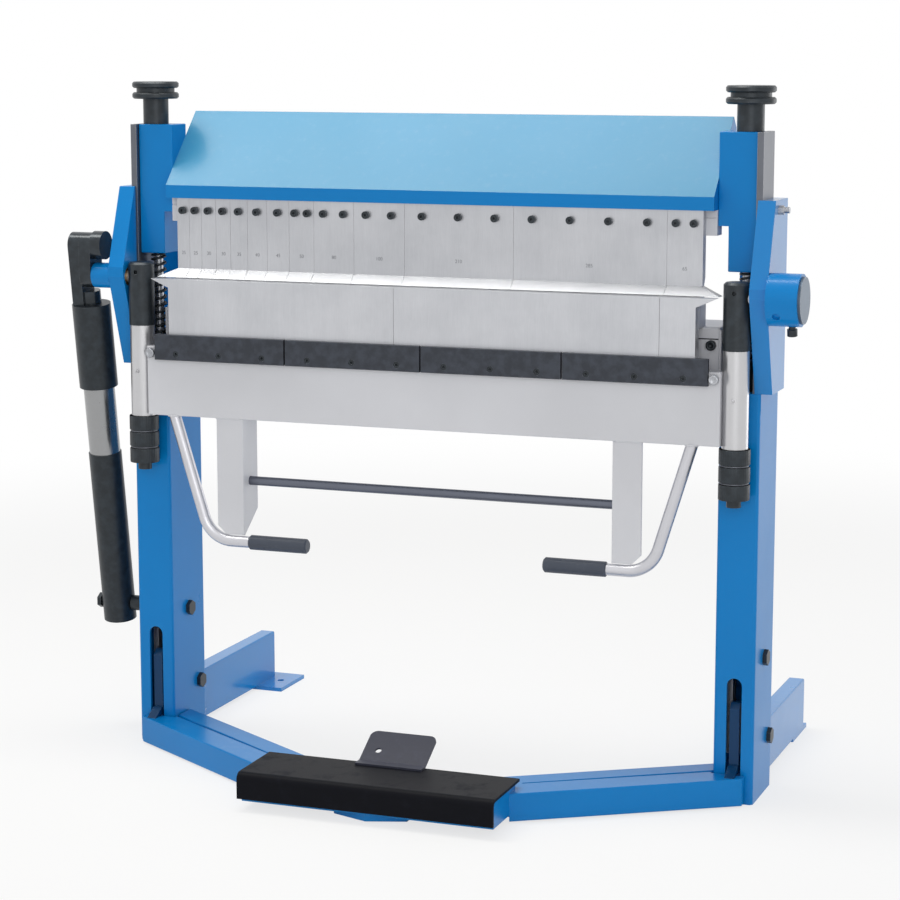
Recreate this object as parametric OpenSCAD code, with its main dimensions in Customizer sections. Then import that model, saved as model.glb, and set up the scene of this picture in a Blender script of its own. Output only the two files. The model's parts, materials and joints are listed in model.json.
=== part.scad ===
// Hand-operated sheet metal folder with segmented fingers, foot pedal and folding apron.
// Lengths are in millimetres. The origin is on the floor, midway between the two floor bolt holes.
// Pieces are drawn from the bend line: Y runs back from it, Z up from the floor.

/* [Bend line] */
// Height of the bend line above the floor
bend_z = 919; // [890:1:950]
// Length of the whole row of fingers
row_w = 1020; // [940:5:1160]
// Clearance of the fingers and the base blade at the bend line
bend_gap = 0.5; // [0.4:0.1:0.8]
// Clearance of the bending blade at the bend line
blade_gap = 0.7; // [0.6:0.1:1]
// Length of the pointed toes past the row at each end
toe_len = 36; // [24:1:38]
// Height of a toe where it leaves the row
toe_h = 16; // [12:1:18]
// Distance from the bend line back to the floor bolt holes
hole_back = 520; // [480:5:560]

/* [Columns and feet] */
// Distance from the end of the row to the middle of a column
side_gap = 68; // [66:1:80]
// Width of a column
column_w = 74; // [72:1:84]
// Depth of a column
column_d = 140; // [134:1:160]
// Distance from the bend line back to the front of a column
column_front = 31; // [30:1:33]
// Wall of a column
column_wall = 6; // [5:0.5:8]
// Thickness of the plate that closes a column at the top
column_cap = 12; // [8:1:16]
// Height of a column's back plate above the bend line
back_plate_up = 120; // [60:5:140]
// Width of the slot for the pedal lever
slot_w = 28; // [26:1:34]
// Height of the lower end of the slot
slot_low = 40; // [30:1:46]
// Height of the upper end of the slot
slot_high = 232; // [230:1:245]
// Width of a rear foot
foot_w = 32; // [26:1:40]
// Height of the upper edge of a rear foot
foot_h = 106; // [90:1:120]
// Length of a rear foot behind the column
foot_len = 380; // [360:5:400]
// Thickness of the floor tabs
tab_t = 8; // [6:1:10]
// Length of a floor tab along the foot
tab_len = 120; // [90:5:130]
// Width of a floor tab beside the foot
tab_w = 56; // [46:1:64]
// Diameter of the hole in a floor tab
tab_hole_d = 14; // [10:0.5:18]

/* [Bed] */
// Depth of the bed below the bend line
bed_drop = 56; // [50:1:62]
// Height of the bed section
bed_h = 173; // [150:1:180]
// Depth of the bed section
bed_d = 120; // [100:1:130]
// Wall of the bed section
bed_wall = 10; // [6:1:14]
// Width of the flat top of the base blade
base_top_w = 32; // [24:1:38]
// Thickness of the base blade at its foot
base_foot_w = 46; // [40:1:60]

/* [Pivot plates] */
// Height of a pivot plate above the bend line
plate_up = 168; // [150:1:180]
// Depth of a pivot plate below the bend line
plate_down = 171; // [160:1:180]
// Thickness of a pivot plate
plate_t = 32; // [28:1:36]
// Distance from the middle of a column out to a pivot plate
plate_out = 26; // [25.5:0.5:30]
// Reach of a pivot plate in front of the bend line
plate_nose = 24; // [22:0.5:26]
// Height of the upright edge at that nose
plate_nose_h = 18; // [12:1:24]
// Distance from the bend line back to the plate's upper front corner
plate_top_y = 29; // [24:1:34]
// Distance from the bend line to the plate's back edge
plate_back = 122; // [118:1:140]
// Diameter of the pivot shafts
shaft_d = 24; // [20:1:26]
// Wall of the pivot bushes
bush_wall = 6; // [4:0.5:7]
// Length of the blue boss on the left plate
boss_len = 38; // [30:1:39]
// Diameter of that boss
boss_d = 48; // [46:1:52]

/* [Clamping beam] */
// Distance from the bend line back to the guide rods
rod_y = 73; // [72:1:80]
// Diameter of the guide rods
rod_d = 18; // [16:0.5:19]
// Height that the beam rises above the clamped position
lift = 36; // [35:1:40]
// Depth of a carrier from front to back
carrier_d = 60; // [54:1:60]
// Height of the carriers' top above the bend line
carrier_up = 285; // [270:1:300]
// Height of the carriers' lower end above the bend line
carrier_low = 41; // [41:1:50]
// Height of the shoulder on a carrier's inner side above the bend line
shoulder_up = 121; // [116:1:126]
// Thickness of the carriers' narrow part, inward from the rod
carrier_in = 29; // [24:1:31]
// Thickness of the carriers, outward from the rod
carrier_out = 22; // [18:1:23]
// Distance from the end of the row to a carrier's wide part
carrier_gap = 20; // [16:1:24]
// Clearance between a carrier and its guide bar
guide_gap = 0.3; // [0.3:0.1:0.6]
// Depth of the groove in a pivot plate that holds the guide bar
groove_deep = 8; // [6:0.5:10]
// Overhang of a guide bar in front of and behind the carrier
bar_over = 10; // [4:1:12]
// Distance from the bend line back to the front of the beam's lip
lip_y = 13; // [10:0.5:13]
// Height of the lip's lower edge above the bend line
lip_up = 149; // [147:1:156]
// Height of the lip
lip_h = 24; // [18:1:30]
// Depth of the sloping cover
slope_d = 133; // [120:1:140]
// Rise of the sloping cover
slope_rise = 135; // [120:1:140]
// Distance from the ridge to the beam's back
ridge_d = 20; // [14:1:30]
// Plate thickness of the beam
beam_t = 6; // [5:0.5:6]
// Height of the finger rail
rail_h = 45; // [40:1:50]
// Depth of the finger rail
rail_d = 32; // [30:1:40]

/* [Fingers] */
// Set-back of the fingers' front face from the bend line
face_y = 19.5; // [19.5:0.5:21]
// Thickness of a finger
finger_t = 20; // [16:0.5:22]
// Height of the fingers above the bend line
finger_h = 166; // [160:1:172]
// Gap between two fingers
finger_gap = 0.4; // [0.2:0.1:0.8]
// Height of the finger screws above the bend line
screw_up = 126; // [122:1:130]
// Diameter of a finger screw's head
screw_head_d = 14; // [12:0.5:15]
// Height of a finger screw's head
screw_head_h = 7; // [4:0.5:8]
// Diameter of a finger screw's shank
screw_d = 8; // [6:0.5:9]
// Depth of a finger screw in the rail
screw_deep = 18; // [12:1:22]

/* [Knobs and springs] */
// Diameter of a knob's two flanges
knob_d = 88; // [76:1:96]
// Diameter of a knob's neck
neck_d = 48; // [40:1:54]
// Height of the neck
neck_h = 47; // [36:1:56]
// Height of one flange
flange_h = 12; // [9:1:14]
// Height of the groove between the flanges
knob_groove = 8; // [6:1:12]
// Depth of that groove
knob_groove_deep = 8; // [4:1:12]
// Diameter of a rod bush
rod_bush_d = 40; // [36:1:46]
// Height of a rod bush above the column
rod_bush_h = 52; // [44:1:60]
// Outer diameter of a return spring
spring_d = 30; // [29.5:0.5:34]
// Wire diameter of a return spring
spring_wire = 4.5; // [3.5:0.25:5]
// Number of curls of a return spring
spring_turns = 13; // [10:1:15]

/* [Pedal] */
// Distance from the bend line back to the pedal's pivot bolt
pedal_pivot_y = 145; // [140:1:150]
// Height of the pedal's pivot bolt
pedal_pivot_z = 101; // [98:1:106]
// Diameter of the pedal's pivot bolts
pivot_bolt_d = 20; // [16:0.5:22]
// Thickness of a lever plate
lever_t = 18; // [12:1:18]
// Height of the lug on a lever plate
lug_z = 184; // [170:1:186]
// Diameter of the yoke pins
yoke_pin_d = 16; // [12:0.5:18]
// Clearance round a yoke pin in its lever
pin_play = 1; // [1:0.1:1.5]
// Thickness of a yoke leg
yoke_leg_t = 10; // [8:0.5:11]
// Depth of a yoke leg
yoke_leg_d = 26; // [22:1:28]
// Height of the yoke block's lower face
yoke_z = 250; // [246:1:260]
// Height of the yoke block
yoke_h = 40; // [30:1:50]
// Height of the pedal's lower face above the floor when pressed
pedal_z = 3; // [2:0.5:5]
// Height of the pedal's arms
arm_h = 51; // [44:1:51]
// Width of a front arm
arm_w = 59; // [50:1:62]
// Width of a back arm
brace_w = 47; // [40:1:50]
// Dark joint between the front and the back arms
arm_joint = 3; // [2:0.5:4]
// Slope of the arms in plan, in degrees
arm_angle = 32.6; // [31:0.1:34]
// Width of the tread
tread_w = 486; // [440:2:520]
// Distance from the bend line forward to the tread's front
tread_front = 319; // [312:1:330]
// Depth of the tread
tread_d = 143; // [132:1:150]
// Height of the tread's top
tread_z = 70; // [66:1:76]
// Plate thickness of the tread
tread_t = 5; // [3:0.5:6]
// Depth of the tread's front skirt below its top
skirt_h = 48; // [40:1:50]
// Width of the toe plate
toe_plate_w = 128; // [100:1:150]
// Length of the toe plate up its slope
toe_plate_len = 76; // [60:1:90]
// Slope of the toe plate, in degrees
toe_plate_angle = 30; // [20:1:45]

/* [Apron] */
// Thickness of the bending blade
blade_t = 23.8; // [20:0.2:24]
// Height of the bending blade
blade_h = 128; // [120:1:134]
// Height of the apron plate
apron_h = 131; // [120:1:140]
// Thickness of the apron plate
apron_t = 20; // [16:1:22]
// Thickness of the black strips
strip_t = 10; // [8:0.5:12]
// Height of the black strips
strip_h = 48; // [40:1:56]
// Overhang of the strips past the row at each end
strip_over = 26; // [20:1:30]
// Gap between two strips
strip_gap = 3; // [1:0.5:5]
// Diameter of the end tubes
tube_d = 47; // [44:0.5:48]
// Length of the end tubes
tube_len = 173; // [160:1:180]
// Diameter of the spindles in the end tubes
spindle_d = 26; // [20:1:30]
// Diameter of the hinge caps
cap_d = 49; // [46:0.5:50]
// Height of the hinge caps above the bend line
cap_up = 28; // [26:1:28]
// Depth of the hinge caps below the bend line
cap_down = 91; // [84:1:96]
// Diameter of the adjuster nuts
nut_d = 55; // [50:0.5:56]
// Height of an adjuster nut
nut_h = 90; // [80:1:100]
// Travel of the apron's height setting
apron_travel = 8; // [5:1:10]
// Distance from the machine's middle to a post's outer edge
post_x = 416; // [396:1:430]
// Width of a post's front flange
post_w = 49; // [40:1:56]
// Depth of a post's web
post_d = 64; // [50:1:70]
// Plate thickness of the posts
post_t = 6; // [5:0.5:8]
// Height of the posts below the apron plate
post_h = 222; // [210:1:240]
// Diameter of the tie rod
tie_d = 17; // [14:0.5:20]
// Drop of the tie rod below the apron plate
tie_drop = 121; // [110:1:140]
// Diameter of the handle tubes
handle_d = 22; // [18:0.5:24]
// Distance from the machine's middle to the upper end of a handle
handle_x = 505; // [495:1:515]
// Slope of a handle from the upright, in degrees
handle_angle = 17; // [14:0.5:20]
// Drop of the handles' level part below the apron plate
handle_drop = 235; // [225:1:260]
// Bend radius of the handles
handle_bend = 60; // [40:1:70]
// Distance from the machine's middle to the inner end of a grip
grip_x = 233; // [210:1:250]
// Length of a grip
grip_len = 119; // [100:1:130]
// Diameter of a grip
grip_d = 28; // [26:0.5:32]

/* [Strut and stop] */
// Radius of the crank
crank_r = 57; // [54:1:62]
// Thickness of the crank arm
crank_t = 24; // [18:1:26]
// Width of the crank arm
crank_w = 48; // [44:1:54]
// Thickness of the strut's eye
eye_t = 23; // [18:1:26]
// Diameter of the crank pin
crank_pin_d = 22; // [16:1:26]
// Distance from the bend line back to the upper column bolt, which carries the strut
bolt_y = 102; // [100:1:108]
// Height of the upper column bolts
bolt_z = 258; // [252:1:266]
// Diameter of the upper column bolts
bolt_d = 16; // [12:0.5:18]
// Outer diameter of the strut's sleeve
sleeve_d = 74; // [70:1:80]
// Diameter of the strut's bright barrel
barrel_d = 60; // [56:0.5:61]
// Outer diameter of the strut's lower tube
strut_tube_d = 64; // [63:0.5:68]
// Bare length of the barrel between the lower tube and the sleeve
barrel_bare = 134; // [120:1:140]
// Length of the lower tube below its pin
strut_tube_low = 34; // [28:1:40]
// Distance from the sleeve's upper end to the crank pin
eye_reach = 115; // [110:1:125]
// Length of the sleeve
sleeve_len = 164; // [155:1:170]
// Diameter of the stop collar
collar_d = 92; // [80:1:100]
// Length of the stop collar
collar_len = 56; // [44:1:64]
// Thickness of the disc on the stop collar
disc_t = 5; // [3:0.5:8]
// Diameter of the lock screw
lock_d = 12; // [10:0.5:14]

/* [Fits] */
// Radial clearance of a running fit
run_fit = 0.05; // [0.03:0.01:0.08]
// Clearance between faces that move past each other
face_gap = 0.4; // [0.3:0.1:0.6]

/* [Hidden] */
$fn = 48;
eps = 0.01;

BLUE = "#1b7cc4";
GREY = "#c9cbd0";
STEEL = "#b9bcc2";
BLACK = "#2b2d31";
CHROME = "#d9dadc";

// Widths of the fingers from left to right; the widest takes what the others leave of the row
narrow_w = [25, 25, 30, 30, 35, 40, 45, 50, 80, 100, 210];
last_w = 65;
finger_w = concat(narrow_w, [row_w - sum(narrow_w) - last_w, last_w]);
wide_finger = 48;
screw_pitch = 71;

function sum(v, n = undef) =
    let (last = is_undef(n) ? len(v) : n) last == 0 ? 0 : v[last - 1] + sum(v, last - 1);
function screw_count(w) = w < wide_finger ? 1 : max(2, round(w / screw_pitch));
function finger_left(i) = -row_w / 2 + sum(finger_w, i);

// Places across the machine
row_x = row_w / 2;
side_x = row_x + side_gap;
inner_x = side_x - column_w / 2;
outer_x = side_x + column_w / 2;
plate_x = side_x + plate_out;
plate_end_x = plate_x + plate_t;
bar_x = side_x + carrier_out + guide_gap;
carrier_x = row_x + carrier_gap;
beam_x = carrier_x;

// Heights and depths
column_back = column_front + column_d;
column_top = bend_z - plate_down;
bed_top = bend_z - bed_drop;
carrier_top = bend_z + carrier_up;
carrier_bottom = bend_z + carrier_low;
bush_top = column_top + rod_bush_h;
rail_top = bend_z + lip_up;
rail_y = face_y + finger_t;
knob_h = neck_h + 2 * flange_h + knob_groove;
blade_front = -blade_gap - blade_t;
blade_low = bend_z - blade_gap - blade_h;
apron_low = blade_low - apron_h;
tube_top = bend_z - cap_down - face_gap;
tube_low = tube_top - tube_len;
nut_top = tube_low - face_gap;
spindle_end = 6;
spindle_low = nut_top - nut_h - apron_travel - spindle_end;

// Strut: from its pin on the column to the crank pin, straight above the bend line at rest
crank_x = plate_end_x + boss_len + face_gap;
sleeve_off = 21;
strut_x = crank_x + sleeve_off;
eye_x = crank_x + crank_t + face_gap;
strut_rise = bend_z + crank_r - bolt_z;
strut_len = norm([bolt_y, strut_rise]);
strut_lean = atan2(bolt_y, strut_rise);
sleeve_low = strut_len - eye_reach - sleeve_len;
strut_tube_up = sleeve_low - barrel_bare;

// Moves a piece drawn from the bend line to its place over the floor holes
module placed() { translate([0, -hole_back, 0]) children(); }

// Draws a piece on the right and its mirror image on the left
module both_sides() {
    children();
    mirror([1, 0, 0]) children();
}

// Extrudes an outline of Y and Z points along X between two places
module along_x(x0, x1) {
    translate([x0, 0, 0]) rotate([90, 0, 90]) linear_extrude(x1 - x0) children();
}

// Extrudes an outline of X and Z points along Y between two places
module along_y(y0, y1) {
    translate([0, y1, 0]) rotate([90, 0, 0]) linear_extrude(y1 - y0) children();
}

// Box between two corners
module block(a, b) { translate(a) cube(b - a); }

// Round bar along X between two places
module x_bar(x0, x1, y, z, d) {
    translate([x0, y, z]) rotate([0, 90, 0]) cylinder(d = d, h = x1 - x0);
}

// Strip of plate on the left-hand side of the line from p to q
module strip(p, q, t) {
    along = (q - p) / norm(q - p);
    side = t * [-along.y, along.x];
    polygon([p, q, q + side, p + side]);
}

// Hexagon head along X
module x_hex(x0, x1, y, z, d) {
    translate([x0, y, z]) rotate([0, 90, 0]) cylinder(d = d, h = x1 - x0, $fn = 6);
}

// Frame

bolt_head_h = 8;
bolt_head_d = 30;
yoke_in = lever_t / 2 + face_gap + pin_play / 2;
lever_room = yoke_in + yoke_leg_t;
rod_hole_room = 3;

module column() {
    color(BLUE) placed() {
        difference() {
            block([inner_x, column_front, 0], [outer_x, column_back, column_top]);
            block([inner_x + column_wall, column_front + column_wall, -eps],
                  [outer_x - column_wall, column_back - column_wall, column_top - column_cap]);
            along_y(column_front - eps, column_front + column_wall + eps) {
                translate([side_x - slot_w / 2, slot_low])
                    square([slot_w, slot_high - slot_w / 2 - slot_low]);
                translate([side_x, slot_high - slot_w / 2]) circle(d = slot_w);
            }
            translate([side_x, rod_y, column_top - column_cap - eps])
                cylinder(d = rod_d + 2 * rod_hole_room, h = column_cap + 2 * eps);
            x_bar(inner_x - eps, outer_x + eps, bolt_y, bolt_z, bolt_d + 2 * run_fit);
            x_bar(inner_x - eps, outer_x + eps, pedal_pivot_y, pedal_pivot_z, pivot_bolt_d + 2 * run_fit);
        }
        block([inner_x, column_back - column_wall, column_top - eps],
              [outer_x, column_back, bend_z + back_plate_up]);
    }
}

module left_column() { mirror([1, 0, 0]) column(); }

module right_column() { column(); }

foot_relief = 7;
flange_t = 10;
flange_over = 14;
foot_bolt_d = 16;
foot_bolt_rows = [0.3, 0.75];
foot_bolt_h = 7;

module rear_foot() {
    foot_back = column_back + foot_len;
    tab_x = side_x - foot_w / 2 - tab_w / 2;
    difference() {
        union() {
            along_x(side_x - foot_w / 2, side_x + foot_w / 2) polygon([
                [column_back, foot_relief], [hole_back - tab_len / 2, foot_relief], [foot_back, tab_t],
                [foot_back, foot_h], [column_back, foot_h]]);
            block([side_x - foot_w / 2 - tab_w, hole_back - tab_len / 2, 0],
                  [side_x + foot_w / 2, hole_back + tab_len / 2, tab_t]);
            block([side_x - foot_w / 2 - flange_over, column_back, foot_relief],
                  [side_x + foot_w / 2 + flange_over, column_back + flange_t, foot_h]);
        }
        translate([tab_x, hole_back, -eps]) cylinder(d = tab_hole_d, h = tab_t + 2 * eps);
    }
    for (s = [-1, 1], share = foot_bolt_rows)
        translate([side_x + s * (foot_w + flange_over) / 2, column_back + flange_t, share * foot_h])
            rotate([-90, 0, 0]) cylinder(d = foot_bolt_d, h = foot_bolt_h, $fn = 6);
}

module rear_feet() { color(BLUE) placed() both_sides() rear_foot(); }

module bed_beam() {
    color(GREY) placed() along_x(-inner_x, inner_x) difference() {
        translate([column_front, bed_top - bed_h]) square([bed_d, bed_h]);
        translate([column_front + bed_wall, bed_top - bed_h + bed_wall])
            square([bed_d - 2 * bed_wall, bed_h - 2 * bed_wall]);
    }
}

base_slope = 18;

module base_blade() {
    front = bend_gap;
    top = bend_z - bend_gap;
    color(STEEL) placed() along_x(-row_x, row_x) polygon([
        [front, bed_top], [front, top], [front + base_top_w, top],
        [front + base_foot_w, top - base_slope], [front + base_foot_w, bed_top]]);
}

module pivot_plate() {
    color(BLUE) placed() difference() {
        union() {
            along_x(plate_x, plate_end_x) polygon([
                [plate_top_y, bend_z + plate_up], [-plate_nose, bend_z + plate_nose_h],
                [-plate_nose, bend_z], [column_front, column_top],
                [plate_back, column_top], [plate_back, bend_z + plate_up]]);
            children();
        }
        block([plate_x - eps, rod_y - carrier_d / 2 - bar_over, column_top - eps],
              [plate_x + groove_deep, rod_y + carrier_d / 2 + bar_over, bend_z + plate_up + eps]);
        x_bar(plate_x - eps, plate_end_x + boss_len + eps, 0, bend_z, shaft_d + 2 * bush_wall);
    }
}

module left_pivot_plate() {
    mirror([1, 0, 0]) pivot_plate() x_bar(plate_end_x - eps, plate_end_x + boss_len, 0, bend_z, boss_d);
}

module right_pivot_plate() { pivot_plate(); }

module guide_bars() {
    color(STEEL) placed() both_sides()
        block([bar_x, rod_y - carrier_d / 2 - bar_over, column_top],
              [plate_x + groove_deep, rod_y + carrier_d / 2 + bar_over, carrier_top]);
}

module pivot_bush(len_x) {
    difference() {
        x_bar(plate_x, plate_x + len_x, 0, bend_z, shaft_d + 2 * bush_wall);
        x_bar(plate_x - eps, plate_x + len_x + eps, 0, bend_z, shaft_d + 2 * run_fit);
    }
}

module pivot_bushes() {
    color("#b08d57") placed() {
        pivot_bush(plate_t);
        mirror([1, 0, 0]) pivot_bush(plate_t + boss_len);
    }
}

module rod_bushes() {
    color(BLACK) placed() both_sides() translate([side_x, rod_y, column_top]) difference() {
        cylinder(d = rod_bush_d, h = rod_bush_h);
        translate([0, 0, -eps]) cylinder(d = rod_d + 2 * run_fit, h = rod_bush_h + 2 * eps);
    }
}

// Return springs, each one tube wound round its guide rod, with a close curl at each end

rings_per_curl = 8;
wire_sides = 6;
end_pitch = spring_wire + 1;
spring_r = (spring_d - spring_wire) / 2;
spring_low = bush_top + face_gap + spring_wire / 2;
spring_rise = carrier_bottom - face_gap - spring_wire / 2 - spring_low;
coil_pitch = (spring_rise - 2 * end_pitch) / (spring_turns - 2);

function coil_z(t) = min(t, 1) * end_pitch + max(0, min(t, spring_turns - 1) - 1) * coil_pitch
    + max(0, t - spring_turns + 1) * end_pitch;
function coil_slope(t) = (t < 1 || t > spring_turns - 1) ? end_pitch : coil_pitch;
function coil_point(t) = [spring_r * cos(360 * t), spring_r * sin(360 * t), coil_z(t)];
function coil_ring(t) =
    let (out = [cos(360 * t), sin(360 * t), 0],
         run = [-sin(360 * t), cos(360 * t), coil_slope(t) / (2 * PI * spring_r)],
         side = cross(run / norm(run), out))
    [for (k = [0 : wire_sides - 1])
        let (a = 360 * k / wire_sides) coil_point(t) + spring_wire / 2 * (cos(a) * out + sin(a) * side)];

coil_rings = spring_turns * rings_per_curl;
coil_path = [for (i = [0 : coil_rings]) coil_point(i / rings_per_curl)];
coil_gap = min([for (i = [0 : coil_rings - rings_per_curl + 2],
                     j = [i + rings_per_curl - 2 : min(coil_rings, i + rings_per_curl + 2)])
    norm(coil_path[i] - coil_path[j])]) - spring_wire;
echo(str("least gap between the curls of a return spring: ", coil_gap));

module return_spring() {
    points = [for (i = [0 : coil_rings]) each coil_ring(i / rings_per_curl)];
    last = coil_rings * wire_sides;
    walls = [for (i = [0 : coil_rings - 1], k = [0 : wire_sides - 1])
        let (a = i * wire_sides + k, b = i * wire_sides + (k + 1) % wire_sides)
        each [[a, b, a + wire_sides], [b, b + wire_sides, a + wire_sides]]];
    ends = [for (k = [1 : wire_sides - 2]) each [[0, k + 1, k], [last, last + k, last + k + 1]]];
    translate([side_x, rod_y, spring_low]) polyhedron(points, concat(walls, ends));
}

module return_springs() { color(BLACK) placed() both_sides() return_spring(); }

// Bolts through the columns; the upper one on the left is longer and carries the strut

nut_over = 2;

module column_bolt(y, z, d, end_x) {
    x_bar(inner_x, end_x, y, z, d);
    x_hex(inner_x - bolt_head_h, inner_x, y, z, bolt_head_d);
}

module column_bolts() {
    color(BLACK) placed() {
        both_sides() {
            column_bolt(pedal_pivot_y, pedal_pivot_z, pivot_bolt_d, outer_x);
            x_hex(outer_x, outer_x + bolt_head_h, pedal_pivot_y, pedal_pivot_z, bolt_head_d);
        }
        column_bolt(bolt_y, bolt_z, bolt_d, outer_x);
        x_hex(outer_x, outer_x + bolt_head_h, bolt_y, bolt_z, bolt_head_d);
        mirror([1, 0, 0]) {
            column_bolt(bolt_y, bolt_z, bolt_d, strut_x + strut_tube_d / 2 + nut_over + bolt_head_h);
            x_bar(outer_x, strut_x - strut_tube_d / 2 - face_gap, bolt_y, bolt_z, bolt_head_d);
            x_hex(strut_x + strut_tube_d / 2 + nut_over, strut_x + strut_tube_d / 2 + nut_over + bolt_head_h,
                  bolt_y, bolt_z, bolt_head_d);
        }
    }
}

stop_bolt_y = 50;
stop_bolt_drop = 17;
stop_bolt_d = 16;
stop_bolt_len = 20;
stop_shank_d = 11;

module stop_bolt() {
    color(STEEL) placed() {
        z = bend_z + plate_up - stop_bolt_drop;
        x_bar(plate_end_x, plate_end_x + stop_bolt_len, stop_bolt_y, z, stop_shank_d);
        x_hex(plate_end_x, plate_end_x + stop_bolt_len / 2, stop_bolt_y, z, stop_bolt_d);
    }
}

// Clamping beam

// Corners of the beam's section, in order round it
beam_low = bend_z + lip_up;
beam_ridge = beam_low + lip_h + slope_rise;
beam_back = lip_y + slope_d + ridge_d;
beam_corners = [[lip_y, beam_low], [beam_back, beam_low], [beam_back, beam_ridge - ridge_d],
                [lip_y + slope_d, beam_ridge], [lip_y, beam_low + lip_h]];

// Folded plate round the section, open below over the tops of the fingers
module upper_beam() {
    sides = len(beam_corners);
    color(BLUE) placed() {
        along_x(-beam_x, beam_x) {
            for (i = [1 : sides - 1]) strip(beam_corners[i], beam_corners[(i + 1) % sides], beam_t);
            strip([rail_y + face_gap, beam_low], beam_corners[1], beam_t);
        }
        both_sides() along_x(beam_x - beam_t, beam_x) polygon(beam_corners);
    }
}

module carrier() {
    difference() {
        along_y(rod_y - carrier_d / 2, rod_y + carrier_d / 2) polygon([
            [carrier_x, carrier_top], [carrier_x, bend_z + shoulder_up],
            [side_x - carrier_in, bend_z + shoulder_up], [side_x - carrier_in, carrier_bottom],
            [side_x + carrier_out, carrier_bottom], [side_x + carrier_out, carrier_top]]);
        translate([side_x, rod_y, carrier_bottom - eps])
            cylinder(d = rod_d + 2 * run_fit, h = carrier_top - carrier_bottom + 2 * eps);
    }
}

module carriers() { color(BLUE) placed() both_sides() carrier(); }

rail_groove = 2;

module finger_rail() {
    color(GREY) placed() difference() {
        block([-carrier_x, rail_y, rail_top - rail_h], [carrier_x, rail_y + rail_d, rail_top]);
        block([-carrier_x - eps, rail_y - eps, bend_z + screw_up + screw_d],
              [carrier_x + eps, rail_y + rail_groove, bend_z + screw_up + screw_d + rail_groove]);
        for (i = [0 : len(finger_w) - 1]) screw_row(i)
            rotate([-90, 0, 0]) cylinder(d = screw_d + 2 * run_fit, h = rail_y + screw_deep + 1);
    }
}

// Repeats its children at the screws of one finger
module screw_row(i) {
    n = screw_count(finger_w[i]);
    for (k = [0 : n - 1])
        translate([finger_left(i) + finger_w[i] * (k + 0.5) / n, 0, bend_z + screw_up]) children();
}

nose_back = 22;
heel_up = 30;

// Section of a finger: tip on the bend line, sloping nose, upright face, relieved heel
module finger_outline(top) {
    low = bend_z + bend_gap;
    polygon([[0, low], [face_y, low + toe_h], [face_y, top], [rail_y, top],
             [rail_y, low + heel_up], [nose_back, low]]);
}

// Pointed end of the nose past the row
module finger_toe() {
    low = bend_z + bend_gap;
    intersection() {
        along_x(row_x - eps, row_x + toe_len) finger_outline(low + finger_h);
        along_y(-eps, rail_y + eps) polygon([
            [row_x - eps, low], [row_x + toe_len, low], [row_x - eps, low + toe_h]]);
    }
}

module finger(i) {
    left = finger_left(i) + (i == 0 ? 0 : finger_gap / 2);
    right = finger_left(i + 1) - (i == len(finger_w) - 1 ? 0 : finger_gap / 2);
    color(STEEL) placed() {
        difference() {
            along_x(left, right) finger_outline(bend_z + finger_h);
            screw_row(i) rotate([-90, 0, 0]) cylinder(d = screw_d + 2 * run_fit, h = rail_y + 1);
        }
        if (i == 0) mirror([1, 0, 0]) finger_toe();
        if (i == len(finger_w) - 1) finger_toe();
    }
}

socket_d = 6;
socket_deep = 4;

module finger_screws() {
    color(BLACK) placed() for (i = [0 : len(finger_w) - 1]) screw_row(i)
        translate([0, face_y - screw_head_h, 0]) rotate([-90, 0, 0]) difference() {
            union() {
                cylinder(d = screw_head_d, h = screw_head_h);
                cylinder(d = screw_d, h = screw_head_h + finger_t + screw_deep);
            }
            translate([0, 0, -eps]) cylinder(d = socket_d, h = socket_deep, $fn = 6);
        }
}

rod_in_knob = 70;
yoke_thread = 30;

module guide_rods() {
    color(STEEL) placed() both_sides()
        translate([side_x, rod_y, yoke_z + yoke_h - yoke_thread])
            cylinder(d = rod_d, h = carrier_top + rod_in_knob - yoke_z - yoke_h + yoke_thread);
}

leg_end = 16;

module clamp_yoke() {
    pin_x = lever_room + 2;
    difference() {
        union() {
            block([side_x - lever_room, rod_y - yoke_leg_d / 2, yoke_z],
                  [side_x + lever_room, rod_y + yoke_leg_d / 2, yoke_z + yoke_h]);
            for (s = [-1, 1]) translate([side_x + s * (yoke_in + yoke_leg_t / 2), 0, 0])
                block([-yoke_leg_t / 2, rod_y - yoke_leg_d / 2, pedal_pivot_z - leg_end],
                      [yoke_leg_t / 2, rod_y + yoke_leg_d / 2, yoke_z + eps]);
            x_bar(side_x - pin_x, side_x + pin_x, rod_y, pedal_pivot_z, yoke_pin_d);
        }
        translate([side_x, rod_y, yoke_z + yoke_h - yoke_thread])
            cylinder(d = rod_d + 2 * run_fit, h = yoke_thread + eps);
    }
}

module clamp_yokes() { color(STEEL) placed() both_sides() clamp_yoke(); }

knob_round = 3;

// Turned knob: neck, two flanges with rounded rims and a groove between them
module knob() {
    r = knob_d / 2;
    translate([side_x, rod_y, carrier_top + face_gap]) difference() {
        union() {
            cylinder(d = neck_d, h = knob_h);
            for (z = [neck_h, neck_h + flange_h + knob_groove]) translate([0, 0, z]) rotate_extrude()
                polygon([[0, 0], [r - knob_round, 0], [r, knob_round], [r, flange_h - knob_round],
                         [r - knob_round, flange_h], [0, flange_h]]);
            translate([0, 0, neck_h]) cylinder(r = r - knob_groove_deep, h = knob_h - neck_h);
        }
        translate([0, 0, -eps]) cylinder(d = rod_d + 2 * run_fit, h = rod_in_knob + face_gap);
    }
}

module left_knob() { color(BLACK) placed() mirror([1, 0, 0]) knob(); }

module right_knob() { color(BLACK) placed() knob(); }

// Pedal

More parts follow.
